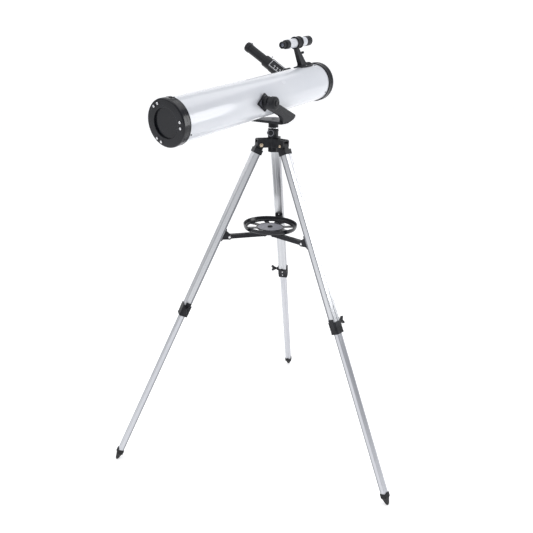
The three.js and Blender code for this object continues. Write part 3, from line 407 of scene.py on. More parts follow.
DRAWN = {"metallic": 1.0, "stretch": (1, 1, 0.02), "bump": 0.16}
BLACK = finish("satin_black_plastic", (0.007, 0.0075, 0.010), (0.013, 0.014, 0.018), (0.34, 0.5),
               specular=0.3, patch=45, grain=1900, bump=0.25, wear=(0.07, 0.07, 0.08), wear_amount=0.3)
BLACK_CAST = finish("black_enamelled_casting", (0.008, 0.0085, 0.011), (0.016, 0.017, 0.021), (0.42, 0.6),
                    specular=0.3, patch=60, grain=1300, bump=0.5, depth=0.0002, wear=(0.12, 0.12, 0.13),
                    wear_amount=0.4)
BLACK_GLOSS = finish("gloss_black_plastic", (0.005, 0.0055, 0.008), (0.009, 0.010, 0.014), (0.18, 0.32),
                     patch=30, grain=900, bump=0.06, coat=0.15, specular=0.32, wear=(0.06, 0.06, 0.07),
                     wear_amount=0.25)
BLACK_FLAT = finish("flat_black_lining", (0.008, 0.008, 0.009), (0.014, 0.014, 0.015), (0.75, 0.92),
                    patch=80, grain=1500, bump=0.4)
# Lighter grey faces; on the fork plate's top this grey is a painted sheen.
GREY_FACE_AND_SHEEN = finish("grey_face_and_painted_sheen", (0.10, 0.10, 0.118), (0.14, 0.142, 0.165), (0.4, 0.55),
                   patch=50, grain=1700, bump=0.2)
# Grey for the tray's disc, and for a painted highlight ring on the azimuth lock knob.
GREY_DISC_AND_HIGHLIGHT = finish("grey_disc_and_painted_highlight", (0.20, 0.20, 0.23), (0.27, 0.27, 0.305), (0.35, 0.5),
                   patch=50, grain=1700, bump=0.2, wear=(0.34, 0.34, 0.36), wear_amount=0.3)
# Pale grey for painted highlights on the edges of the focuser panel's black ribs.
PALE_HIGHLIGHT = finish("painted_edge_highlight", (0.66, 0.66, 0.68), (0.78, 0.78, 0.80), (0.4, 0.55), patch=90,
                   grain=1700)
WHITE = finish("gloss_white_enamel", (0.70, 0.72, 0.765), (0.745, 0.76, 0.80), (0.20, 0.28),
               patch=9, grain=420, bump=0.035, depth=0.0002, coat=0.55, coat_rough=0.06, patch_detail=2)
ALUMINIUM = finish("brushed_aluminium", (0.50, 0.51, 0.53), (0.62, 0.63, 0.65), (0.24, 0.36),
                   patch=90, grain=1400, wear=(0.85, 0.85, 0.87), wear_amount=0.3, **DRAWN)
ALUMINIUM_LOW = finish("brushed_aluminium_lower", (0.47, 0.48, 0.51), (0.59, 0.60, 0.63), (0.26, 0.38),
                       patch=110, grain=1500, wear=(0.82, 0.82, 0.85), wear_amount=0.3, **DRAWN)
# Darker aluminium: painted shade on the inner part of the leg tubes' side faces.
ALUMINIUM_SHADE = finish("aluminium_painted_shade", (0.20, 0.205, 0.225), (0.29, 0.295, 0.315), (0.34, 0.5),
                        patch=90, grain=1400, **DRAWN)
CHROME = finish("bright_chrome", (0.72, 0.72, 0.74), (0.86, 0.86, 0.87), (0.08, 0.16), metallic=1.0,
                patch=120, grain=1600, bump=0.03)
BRASS = finish("plated_brass", (0.55, 0.43, 0.30), (0.74, 0.62, 0.46), (0.2, 0.34), metallic=1.0,
               patch=220, grain=2200, bump=0.1, wear=(0.9, 0.82, 0.66), wear_amount=0.4)
RUBBER = finish("moulded_rubber", (0.010, 0.010, 0.011), (0.022, 0.022, 0.023), (0.62, 0.85),
                patch=120, grain=1700, bump=0.5, wear=(0.07, 0.07, 0.07), wear_amount=0.5)
MIRROR = finish("silvered_glass", (0.90, 0.91, 0.93), (0.94, 0.95, 0.96), (0.015, 0.03), metallic=1.0,
                patch=20, grain=600, bump=0.0)


def principled(look):
    return next(n for n in look.node_tree.nodes if n.type == "BSDF_PRINCIPLED")


def lens_finish():
    """Coated glass: thin, clear and faintly tinted."""
    look = finish("coated_lens", (0.55, 0.62, 0.78), (0.62, 0.60, 0.84), (0.02, 0.05), patch=60, grain=700,
                  bump=0.0, coat=1.0, coat_rough=0.02, specular=0.8)
    shader = principled(look)
    shader.inputs["Transmission Weight"].default_value = 0.85
    shader.inputs["IOR"].default_value = 1.52
    return look


LENS = lens_finish()


# ---------------------------------------------------------------- tripod hub
def leg_profile(width, depth, corner, groove=0.0):
    """Section of a leg tube: X is in and out, Y across."""
    w, d = width / 2, depth / 2
    outline = arc((d - corner, -w + corner), corner, -90, 0, 4)
    if groove:
        outline += [(d, -2.4 - groove), (d - groove, -2.4), (d - groove, 2.4), (d, 2.4 + groove)]
    outline += arc((d - corner, w - corner), corner, 0, 90, 4)
    outline += arc((-d + corner, w - corner), corner, 90, 180, 4)
    if groove:
        outline += [(-d, 2.4 + groove), (-d + groove, 2.4), (-d + groove, -2.4), (-d, -2.4 - groove)]
    outline += arc((-d + corner, -w + corner), corner, 180, 270, 4)
    return outline


def make_hub():
    column = spun([(7.4, HUB_BOTTOM), (COLUMN_RADIUS - 1.5, HUB_BOTTOM), (COLUMN_RADIUS - 1.5, LUG_BOTTOM),
                   (COLUMN_RADIUS, LUG_BOTTOM + 1), (COLUMN_RADIUS, COLUMN_TOP - 1),
                   (COLUMN_RADIUS - 0.6, COLUMN_TOP), (7.4, COLUMN_TOP)], 0.8, 3, 72)
    parts = [column]
    inner = TONGUE_WIDTH / 2 + 0.3
    outer = inner + LUG_WALL
    ear = fillet([(8, LUG_BOTTOM), (LUG_REACH - 5, LUG_BOTTOM), (LUG_REACH, LUG_BOTTOM + 5),
                  (LUG_REACH, LUG_TOP - 3), (LUG_REACH - 3, LUG_TOP), (8, LUG_TOP)], 2.4, 4)
    web = [(8, LUG_TOP - 4), (LUG_REACH - 0.6, LUG_TOP - 4), (LUG_REACH - 1.2, LUG_TOP - 1.6),
           (LUG_REACH - 3.2, LUG_TOP - 0.3), (8, LUG_TOP - 0.3)]
    root = [(8, LUG_BOTTOM + 1), (COLUMN_RADIUS + 3, LUG_BOTTOM + 1), (COLUMN_RADIUS + 3, LUG_TOP - 1),
            (8, LUG_TOP - 1)]
    rim = fillet([(12, LUG_TOP - 2.2), (LUG_REACH - 6, LUG_TOP - 2.2), (LUG_REACH - 4, LUG_TOP + 0.5),
                  (12, LUG_TOP + 2.2)], 0.6, 2)
    lugs = [prism(ear, inner, outer, "y"), prism(ear, -outer, -inner, "y"),
            prism(web, -inner - 0.2, inner + 0.2, "y"), prism(root, -inner - 0.2, inner + 0.2, "y"),
            prism(rim, -1.4, 1.4, "y")]
    for azimuth in LEG_AZIMUTHS.values():
        parts += [shifted(lug, turn(azimuth, "Z")) for lug in lugs]
    rib = [(11, HUB_BOTTOM + 4), (15.4, LUG_BOTTOM + 4), (15.4, LUG_TOP + 2), (11, LUG_TOP + 8)]
    for angle in (52.7, 172.7, 292.7):
        parts.append(shifted(prism(rib, -1.2, 1.2, "y"), turn(angle, "Z")))
    parts.append(ring(12.2, 14.9, LUG_TOP + 20, LUG_TOP + 22.4, 72, round_off=0.8))
    piece("hub_casting", parts, "hub", BLACK_CAST, stands_for=["hub_body"], bevel=0.7)
    piece("azimuth_ring", spun([(7.4, COLUMN_TOP + 0.3), (13.9, COLUMN_TOP + 0.3),
                                (13.9, NECK_BOTTOM - 0.3), (7.4, NECK_BOTTOM - 0.3)], 0.5, 3, 72), "hub",
          CHROME, stands_for=["azimuth_washer"])
    face = outer + 0.3
    for n in SPOKE:
        bolt = spun([(0, -face - 3.4), (2.2, -face - 3.4), (3.9, -face - 2.4), (3.9, -face), (2.8, -face),
                     (2.8, face), (4, face), (4, face + 1), (0, face + 1)], 0.5, 3, 40, "y")
        nut = prism(circle(5.4, 6), face, face + 2.6, "y")
        tip = rod(2.8, face + 2, face + 3.8, 24, "y", 0.6)
        slot = [block((-2.2, -face - 3.7, -0.5), (2.2, -face - 3.1, 0.5), 1)]
        piece(f"hinge_screw_{n}", [bolt, nut, tip] + slot, "hub", [BRASS, BLACK],
              SPOKE[n] @ at(HINGE_RADIUS, 0, HINGE_HEIGHT), [f"hinge_bolt_{n}"], bevel=0.25)


def lobed(lobes, depth, low, high):
    def wave(angle, radius, height):
        if low <= height <= high and radius > 4:
            return radius * (1 - depth * (1 - math.cos(angle * lobes)) / 2)
        return radius
    return wave


def make_azimuth_lock():
    low, high = COLUMN_RADIUS + 3.4, COLUMN_RADIUS + 9.4
    profile = [(0, 7.6), (3, 7.6), (3, low - 3), (4.6, low - 3), (4.8, low), (10.4, low), (11.4, low + 1),
               (11.4, high - 1.4), (10.2, high), (6, high), (5.6, high + 1.1), (0, high + 1.2)]
    knob = spun(profile, 0.8, 3, 96, "z", wave=lobed(6, 0.1, low, high + 0.2))
    here = BASE @ at(0, 0, LOCK_HEIGHT) @ turn(LOCK_TURN, "Z") @ turn(90, "X")
    # A pale grey ring on the knob's face: a painted highlight.
    highlight_ring = ring(7, 8.6, high - 0.4, high + 0.35, 64, round_off=0.3, tint=1)
    piece("azimuth_lock_wheel", [knob, highlight_ring], "azimuth_lock", [BLACK, GREY_DISC_AND_HIGHLIGHT], here,
          ["azimuth_lock_knob"])


# ---------------------------------------------------------------- legs
def shade_strips(width, depth, low, high):
    """Darker bands of painted shade along the inner edge of a leg tube's two side faces."""
    inner = -depth / 2
    bands = []
    for side in (-1, 1):
        face = side * width / 2
        corners = [(inner + 1.6, face - side * 0.5), (inner + 0.27 * depth, face - side * 0.5),
                   (inner + 0.27 * depth, face + side * 0.12), (inner + 1.6, face + side * 0.12)]
        bands.append(prism(corners, low + 0.3, high - 0.3, tint=1))
    return bands


def make_leg(n):
    here, body = LEG[n], f"leg_{n}"

    def upper(extra, corner, deeper=0.0):
        return leg_profile(UPPER_WIDTH + extra, UPPER_DEPTH + extra + deeper, corner)

    tongue = arc((0, 0), 10.2, 0, 180, 16) + [(-10.2, -SOCKET_TOP - 1), (10.2, -SOCKET_TOP - 1)]
    inside = [upper(0.6, 2.6)]
    socket = [
        prism(tongue, -TONGUE_WIDTH / 2, TONGUE_WIDTH / 2, "y"),
        prism(upper(4.4, 3), -SOCKET_END, -SOCKET_TOP - 3, holes=inside),
        prism(upper(4.4, 3), -SOCKET_TOP - 3.4, -SOCKET_TOP),
        prism(upper(4.9, 3.2), -SOCKET_END, -SOCKET_END + 2.2, holes=inside),
    ]
    rib = [(-8, 1 - SOCKET_TOP), (8, 1 - SOCKET_TOP), (3, 6.5 - SOCKET_TOP), (-3, 6.5 - SOCKET_TOP)]
    for face in (-TONGUE_WIDTH / 2, TONGUE_WIDTH / 2):
        socket.append(prism(rib, face - 0.7, face + 0.3, "y"))
    piece(f"leg_socket_moulding_{n}", socket, body, BLACK, here, [f"leg_socket_{n}"],
          bevel=0.6)

    for name, rides, look, slot, wide, deep, low, high in (
            ("upper", body, ALUMINIUM, "leg_aluminium", UPPER_WIDTH, UPPER_DEPTH, 21 - COLLAR_BOTTOM,
             -UPPER_TOP),
            ("lower", f"lower_leg_{n}", ALUMINIUM_LOW, "lower_leg_aluminium", LOWER_WIDTH, LOWER_DEPTH,
             FOOT_LENGTH - 9.7 - LEG_LENGTH, -LOWER_TOP)):
        # Each leg tube carries two darker strips near its inner edge: painted shade on its side faces.
        tube = prism(leg_profile(wide, deep, 2.4, 0.9), low, high,
                     holes=[leg_profile(wide - 3, deep - 4.8, 1.2)])
        piece(f"{name}_leg_tube_{n}", [tube] + shade_strips(wide, deep, low, high), rides,
              [look, ALUMINIUM_SHADE], here, [f"{name}_leg_{n}"], bevel=0.25, corner=40, baked=False)

    bottom = -COLLAR_BOTTOM
    top = bottom + COLLAR_LENGTH
    half, level = UPPER_WIDTH / 2, top - COLLAR_SCREW
    grip = [upper(0.6, 2.5)]
    throat = [leg_profile(LOWER_WIDTH + 0.6, LOWER_DEPTH + 0.6, 2.2)]
    sleeve = upper(4.4, 4, 0.6)
    boss = spun([(3.3, half), (6.4, half), (5.8, half + 8), (3.3, half + 8)], 0.7, 3, 40, "y")
    collar = [
        prism(sleeve, bottom, bottom + 5, holes=throat),
        prism(upper(3.6, 3.6, 0.4), bottom + 4.6, bottom + 20, holes=throat),
        prism(sleeve, bottom + 19.6, top - 10, holes=grip),
        prism(upper(4.8, 4.2, 0.6), top - 12, top - 8, holes=grip),
        block((-7.5, half + 0.5, bottom + 6), (7.5, half + 3, top)),
        block((-7.5, -half - 3, bottom + 6), (7.5, -half - 0.5, top)),
        shifted(boss, at(0, 0, level)),
    ]
    for k in range(4):
        z = bottom + 7 + 3.4 * k
        collar.append(prism(upper(4.2, 3.8, 0.5), z, z + 1.2, holes=throat))
    for z in (bottom + 26, bottom + 12):
        spot = at(-UPPER_DEPTH / 2 - 2.4, 0, z) @ turn(-90, "Y")
        collar.append(shifted(screw_head(2.5, 1.5, tint=1), spot))
    piece(f"leg_clamp_collar_{n}", collar, body, [BLACK, CHROME], here,
          [f"leg_collar_{n}"], bevel=0.5)

    reach, low = 10, half + 14
    high = low + 6
    wing = [(5, low + 1), (reach + 0.5, high + 1)]
    wing += curve((reach + 0.5, high + 1), (reach + 1.2, high + 4), (reach, high + 6))
    wing += curve((reach, high + 6), (reach - 2, high + 7.4), (reach - 4, high + 6.2), 4)
    wing += curve((reach - 4, high + 6.2), (3.4, high + 3.2), (0, high + 2.6), 5)
    wings = wing + [(-x, z) for x, z in reversed(wing[:-1])]
    root = LOWER_WIDTH / 2 + 0.3
    stem = spun([(0, root), (2.8, root), (2.8, low - 4), (4, low - 3), (5, low), (5, high),
                 (3.6, high + 1.2), (0, high + 1.2)], 0.6, 3, 40)
    piece(f"leg_lock_wing_{n}", [stem, prism(wings, -2.6, 2.6, "y")], f"leg_lock_{n}", BLACK,
          here @ at(0, 0, level) @ turn(-90, "X") @ turn(90, "Z"),
          [f"leg_lock_knob_{n}"], bevel=0.6, segments=3)

    top, tip = FOOT_LENGTH - LEG_LENGTH, 2.6 - LEG_LENGTH
    wide, deep = LOWER_WIDTH + 3.9, LOWER_DEPTH + 3.9
    full, waist = leg_profile(wide, deep, 3), leg_profile(wide - 1.2, deep - 1.2, 3)
    levels = [(leg_profile(5.6, 4.4, 1.4), tip - 2.1), (leg_profile(8, 6.6, 2), tip - 0.6),
              (leg_profile(9.6, 8.2, 2.4), tip + 1), (leg_profile(wide - 4.4, deep - 4.4, 3), top - 16)]
    for k in range(4):
        z = top - 13 + 2.8 * k
        levels += [(waist, z), (full, z + 0.4), (full, z + 1.7), (waist, z + 2.1)]
    levels += [(full, top - 1.2), (full, top - 0.5), (leg_profile(wide - 1, deep - 1, 3), top)]
    piece(f"rubber_foot_{n}", loft(levels), f"lower_leg_{n}", RUBBER, here, [f"foot_{n}"],
          bevel=0.3)


def make_spreader(n):
    here = LEG[n]
    drop, out = HINGE_HEIGHT - ARM_PIVOT_HEIGHT, ARM_PIVOT_RADIUS - HINGE_RADIUS
    tilt = math.radians(LEG_TILT)
    distance = drop * math.cos(tilt) + out * math.sin(tilt)
    reach = drop * math.sin(tilt) - out * math.cos(tilt)
    back = -UPPER_DEPTH / 2 - 0.3
    half = ARM_WIDTH / 2 + 0.7
    lug = [(back, -distance + 14), (-reach + 1, -distance + 8)]
    lug += arc((-reach, -distance), 7.5, 90, 270, 14) + [(back, -distance - 15)]
    wide = UPPER_WIDTH / 2 - 1
    plate = fillet([(-distance - 19, -wide), (-distance - 19, wide), (-distance + 19, wide),
                    (-distance + 19, -wide)], 3, 4)
    plate = [(y, z) for z, y in plate]
    parts = [
        prism(lug, half, half + 2.2, "y"),
        prism(lug, -half - 2.2, -half, "y"),
        prism(plate, back - 2.6, back, "x"),
        block((back - 5, -half - 0.4, -distance + 12.5), (back - 2, half + 0.4, -distance + 14.5)),
    ]
    for z in (-distance + 16.4, -distance - 16.4):
        parts.append(shifted(screw_head(2.3, 1.3, tint=1), at(back - 2.6, 0, z) @ turn(-90, "Y")))
    piece(f"arm_bracket_{n}", parts, f"leg_{n}", [BLACK, CHROME], here,
          [f"spreader_bracket_{n}"], bevel=0.4)

    arm_at = SPOKE[n] @ at(ARM_PIVOT_RADIUS, 0, ARM_PIVOT_HEIGHT)
    length = ARM_PIVOT_RADIUS - ARM_INNER_RADIUS
    h = ARM_HEIGHT / 2
    side = arc((0, 0), h, -90, 90, 12) + arc((-length, 0), h, 90, 270, 12)
    w = ARM_WIDTH / 2
    roof = [(2, h - 2), (2, h - 0.1), (-length - 2, h - 0.1), (-length - 2, h - 2)]
    bead = [(-12, h - 0.4), (-length + 12, h - 0.4), (-length + 13, h), (-11, h)]
    bores = [circle(2.6, 20), circle(2.6, 20, centre=(-length, 0))]
    channel = [
        prism(side, w - 1.8, w, "y", holes=bores),
        prism(side, -w, -w + 1.8, "y", holes=bores),
        prism(roof, -w + 1.7, w - 1.7, "y"),
        prism(bead, -3.4, -2.2, "y"),
        prism(bead, 2.2, 3.4, "y"),
    ]
    piece(f"spreader_link_{n}", channel, f"arm_{n}", BLACK, arm_at,
          [f"spreader_arm_{n}"], bevel=0.35)
    face = half + 2.5
    pin = spun([(0, -face - 1.6), (2.4, -face - 1.5), (3.6, -face - 0.4), (3.6, -face), (2.2, -face),
                (2.2, face), (3.6, face), (3.6, face + 0.4), (2.4, face + 1.5), (0, face + 1.6)], 0.3, 2,
               32, "y")
    piece(f"arm_rivet_{n}", pin, f"leg_{n}", CHROME, arm_at, [f"arm_pin_{n}"])


def make_tray():
    outer = circle(TRAY_RADIUS - 3.4, 128)
    holes = [circle(4, 24)]
    inside, outside = TRAY_DISC + 4, TRAY_RADIUS - 12
    half = math.degrees(math.pi / TRAY_HOLES - 0.11)
    for i in range(TRAY_HOLES):
        middle = 360 * (i + 0.5) / TRAY_HOLES
        opening = arc((0, 0), outside, middle - half, middle + half, 10)
        opening += arc((0, 0), inside, middle + half * 0.86, middle - half * 0.86, 7)
        holes.append(fillet(opening, 3.0, 4))
    floor = prism(outer, TRAY_FLOOR, TRAY_FLOOR + 2.6, holes=holes)
    edge, low = TRAY_RADIUS, TRAY_FLOOR
    rim = spun([(edge - 9, low), (edge - 4.5, low - 0.5), (edge - 0.9, low + 4), (edge, TRAY_TOP - 0.4),
                (edge - 1.3, TRAY_TOP), (edge - 2.6, TRAY_TOP - 0.5), (edge - 5, low + 4.4),
                (edge - 9, low + 2.8)], 1.2, 4, 144)
    top = TRAY_FLOOR + 2.6
    lip = ring(TRAY_DISC + 1.4, TRAY_DISC + 2.8, top - 0.4, top + 0.9, 96, round_off=0.5)
    disc = tinted(spun([(8, top - 0.3), (TRAY_DISC, top - 0.3), (TRAY_DISC - 0.4, top + 0.25),
                        (8, top + 0.25)], 0.25, 2, 96), 1)
    piece("tray_moulding", [floor, rim, disc, lip], "tray", [BLACK_GLOSS, GREY_DISC_AND_HIGHLIGHT],
          stands_for=["accessory_tray"], bevel=0.5)
    seat = top + 0.3
    under = ARM_PIVOT_HEIGHT + ARM_HEIGHT / 2 + 4.4
    screw = spun([(0, under), (3.6, under), (3.6, seat), (7, seat), (7, seat + 2), (5.4, seat + 3.3),
                  (1.6, seat + 3.5), (1.2, seat + 2.6), (0, seat + 2.6)], 0.5, 3, 48,
                 wave=lobed(12, 0.08, seat + 0.2, seat + 3))
    piece("tray_thumb_screw", screw, "tray", BLACK, stands_for=["tray_screw"])

    plate_low = under - 0.4
    parts = [spun([(4, plate_low), (30, plate_low), (30, TRAY_FLOOR - 0.9), (4, TRAY_FLOOR - 0.9)], 1, 3, 72)]
    gap = ARM_WIDTH / 2 + 0.8
    ear = [(12, plate_low + 1), (12, ARM_PIVOT_HEIGHT - 3)]
    ear += arc((18, ARM_PIVOT_HEIGHT), 5.6, 215, 325, 8) + [(28, plate_low + 1)]
    for azimuth in LEG_AZIMUTHS.values():
        for side in (gap, -gap - 2):
            hole = circle(2.6, 16, centre=(ARM_INNER_RADIUS, ARM_PIVOT_HEIGHT))
            parts.append(shifted(prism(ear, side, side + 2, "y", holes=[hole]), turn(azimuth, "Z")))
    piece("spreader_boss", parts, "tray", BLACK, stands_for=["spreader_hub"], bevel=0.4)


# ---------------------------------------------------------------- fork head
def make_yoke():
    low = YOKE_BOTTOM + 2
    foot = (-44, low)
    heel = (-14, low + 1.4)
    side = [foot, heel] + curve(heel, (7, low + 3), (11, low + 11), 8)
    side += curve((11, low + 11), (14, low + 18), (3, low + 22), 8)
    side += [(-PIVOT_BACK + BOSS_RADIUS, PIVOT_HEIGHT - 1)]
    side += arc((-PIVOT_BACK, PIVOT_HEIGHT), BOSS_RADIUS, 6, 247, 30)
    side += [(-61.4, low + 22.7)] + curve((-61.4, low + 22.7), (-43, low + 14), (-40, low + 4), 10)
    parts = []

    def lean(v):
        return Vector((v.x + math.copysign(ARM_LEAN * (v.z - YOKE_TOP), v.x), v.y, v.z))

    boss = spun([(AXLE_RADIUS + 0.4, BOSS_INNER), (BOSS_RADIUS, BOSS_INNER), (BOSS_RADIUS, BOSS_OUTER - 4),
                 (BOSS_RADIUS - 1.2, BOSS_OUTER - 1.8), (BOSS_RADIUS - 4, BOSS_OUTER),
                 (AXLE_RADIUS + 0.4, BOSS_OUTER)], 1.6, 5, 96, "x")
    root = ARM_ROOT - ARM_THICK / 2
    strap = warped(prism(side, root, root + ARM_THICK, "x"), lean)

    def keep(v):
        """The strap's end stays inside the boss's own thickness."""
        return Vector((min(max(v.x, 44), BOSS_OUTER - 4), v.y, v.z))

    strap = warped(strap, keep)
    ribs = []
    start, end = Vector((3, low + 22)), Vector((-PIVOT_BACK + BOSS_RADIUS, PIVOT_HEIGHT - 1))
    across = Vector((end.y - start.y, start.x - end.x)).normalized()
    for k in range(5):
        offset = across * (2.2 + 3.3 * k) * -1
        a, b = start + offset, end + offset
        a, b = a + (b - a) * (0.02 + 0.04 * k), b
        width = across * 0.6
        line = [tuple(a - width), tuple(a + width), tuple(b + width), tuple(b - width)]
        ribs.append(warped(warped(prism(line, root + ARM_THICK - 0.6, root + ARM_THICK + 0.5, "x"), lean),
                           keep))
    for mirror in (1, -1):
        flip = Matrix.Scale(mirror, 4, (1, 0, 0))
        there = at(0, -PIVOT_BACK, PIVOT_HEIGHT)
        parts.append(shifted(shifted(boss, there), flip))
        parts.append(shifted(strap, flip))
        parts.extend(shifted(rib, flip) for rib in ribs)
    front = [(53, -26)] + curve((53, -26), (51, 0), (40, 16), 8) + curve((40, 16), (30, 36), (22, 40), 8)
    plate = [(-53, -44), (53, -44)] + front + [(-x, y) for x, y in reversed(front)]
    parts.append(prism(fillet(plate, 3, 3), YOKE_BOTTOM, YOKE_TOP, holes=[circle(5.3, 24)]))
    neck = spun([(5.3, NECK_BOTTOM), (NECK_RADIUS, NECK_BOTTOM), (NECK_RADIUS, YOKE_BOTTOM - 2),
                 (NECK_RADIUS + 2.4, YOKE_BOTTOM + 0.5), (5.3, YOKE_BOTTOM + 0.5)], 1, 4, 72)
    parts.append(neck)
    # The fork plate's lighter grey top face is a painted sheen.
    face = tinted(prism(fillet([(x * 0.94, y * 0.94) for x, y in plate], 3, 3), YOKE_TOP - 0.5,
                        YOKE_TOP + 0.25, holes=[circle(6.4, 24)]), 1)
    piece("fork_casting", parts + [face], "yoke", [BLACK_CAST, GREY_FACE_AND_SHEEN],
          stands_for=["yoke_frame"], bevel=1.0, segments=3)
    spindle = spun([(0, HUB_BOTTOM + 2), (6, HUB_BOTTOM + 2), (7, HUB_BOTTOM + 3), (7, NECK_BOTTOM - 0.3),
                    (5, NECK_BOTTOM - 0.3), (5, YOKE_TOP - 2.5), (0, YOKE_TOP - 2.5)], 0.4, 2, 48)
    piece("azimuth_stem", spindle, "yoke", CHROME, stands_for=["azimuth_spindle"])


def make_altitude(side):
    name = "right" if side > 0 else "left"
    flip = Matrix.Scale(side, 4, (1, 0, 0))
    long, tall, face = 29.6, 23.1, PLATE_FACE

    def lozenge(inset, low_x, high_x, tint=0, hole=None):
        def diamond(margin):
            x, y = long - margin * 1.3, tall - margin
            return [(-x, 0), (0, -y), (x, 0), (0, y)]

        holes = [fillet(diamond(hole), 1.6, 3)] if hole else []
        return prism(fillet(diamond(inset), 2.4, 4), low_x, high_x, "x", holes=holes, tint=tint)

    def saddle(v):
        """The plate's inner face follows the tube."""
        clear = math.sqrt(max(0, (TUBE_RADIUS + 0.35) ** 2 - v.z ** 2))
        return Vector((max(v.x, clear) if v.x < face - 2.5 else v.x, v.y, v.z))

    parts = [
        warped(lozenge(0, face - 2.9, face - 0.9), saddle),
        lozenge(0, face - 1.0, face, hole=3.4),
        warped(lozenge(7, 45, face - 2), saddle),
        lozenge(3.3, face - 1.0, face - 0.5, tint=1),
    ]
    for y, z in ((-23.5, 0), (23.5, 0), (0, 18), (0, -18)):
        head = shifted(screw_head(1.3, 0.7), at(face - 0.5, 0, 0) @ turn(90, "Y"))
        parts.append(shifted(head, at(0, y, z)))
    parts = [shifted(part, flip) for part in parts]
    piece(f"tube_plate_{name}", parts, "optical_tube", [BLACK, GREY_FACE_AND_SHEEN, CHROME], TUBE,
          [f"side_bracket_{name}"], bevel=0.5)

    low, high, r = TILT_KNOB_INNER, BOSS_INNER - 0.3, TILT_KNOB_RADIUS

    def ribbed(angle, radius, height):
        if radius > r - 1 and low + 1.5 < height < high - 6:
            return radius - 0.8 * (0.5 - 0.5 * math.cos(angle * 24)) ** 2
        return radius

    profile = [(4.4, low), (r - 1.4, low), (r - 0.2, low + 1.3), (r - 0.05, low + 1.8),
               (r - 0.05, high - 8), (r - 0.3, high - 7.2), (r - 1.2, high - 6.6), (r - 3, high - 6),
               (r - 3, high - 5), (r - 1.9, high - 4.4), (r - 1.9, high - 0.6), (r - 2.5, high), (4.4, high)]
    knob = spun(profile, 0.5, 2, 192, "x", wave=ribbed)
    piece(f"tilt_wheel_{name}", shifted(knob, flip), f"altitude_knob_{name}", BLACK, TUBE,
          [f"altitude_knob_{name}"])
    out = BOSS_OUTER + 0.3
    bolt = spun([(0, 51.5), (4, 51.5), (4, out), (8, out), (8, out + 1.6), (7, out + 2.6), (4.4, out + 3.1),
                 (4.0, out + 2.0), (0, out + 2.0)], 0.6, 3, 48, "x")
    piece(f"tilt_bolt_{name}", shifted(bolt, flip), "optical_tube", BLACK, TUBE,
          [f"altitude_bolt_{name}"])


# ---------------------------------------------------------------- optical tube
def heads_round(radius, height, reach, spots):
    """Screw heads standing out of the tube, each at an angle and a station."""
    heads = []
    for angle, station in spots:
        head = shifted(screw_head(radius, height), at(reach, along(station), 0) @ turn(90, "Y"))
        heads.append(shifted(head, turn(angle - 90, "Y")))
    return heads


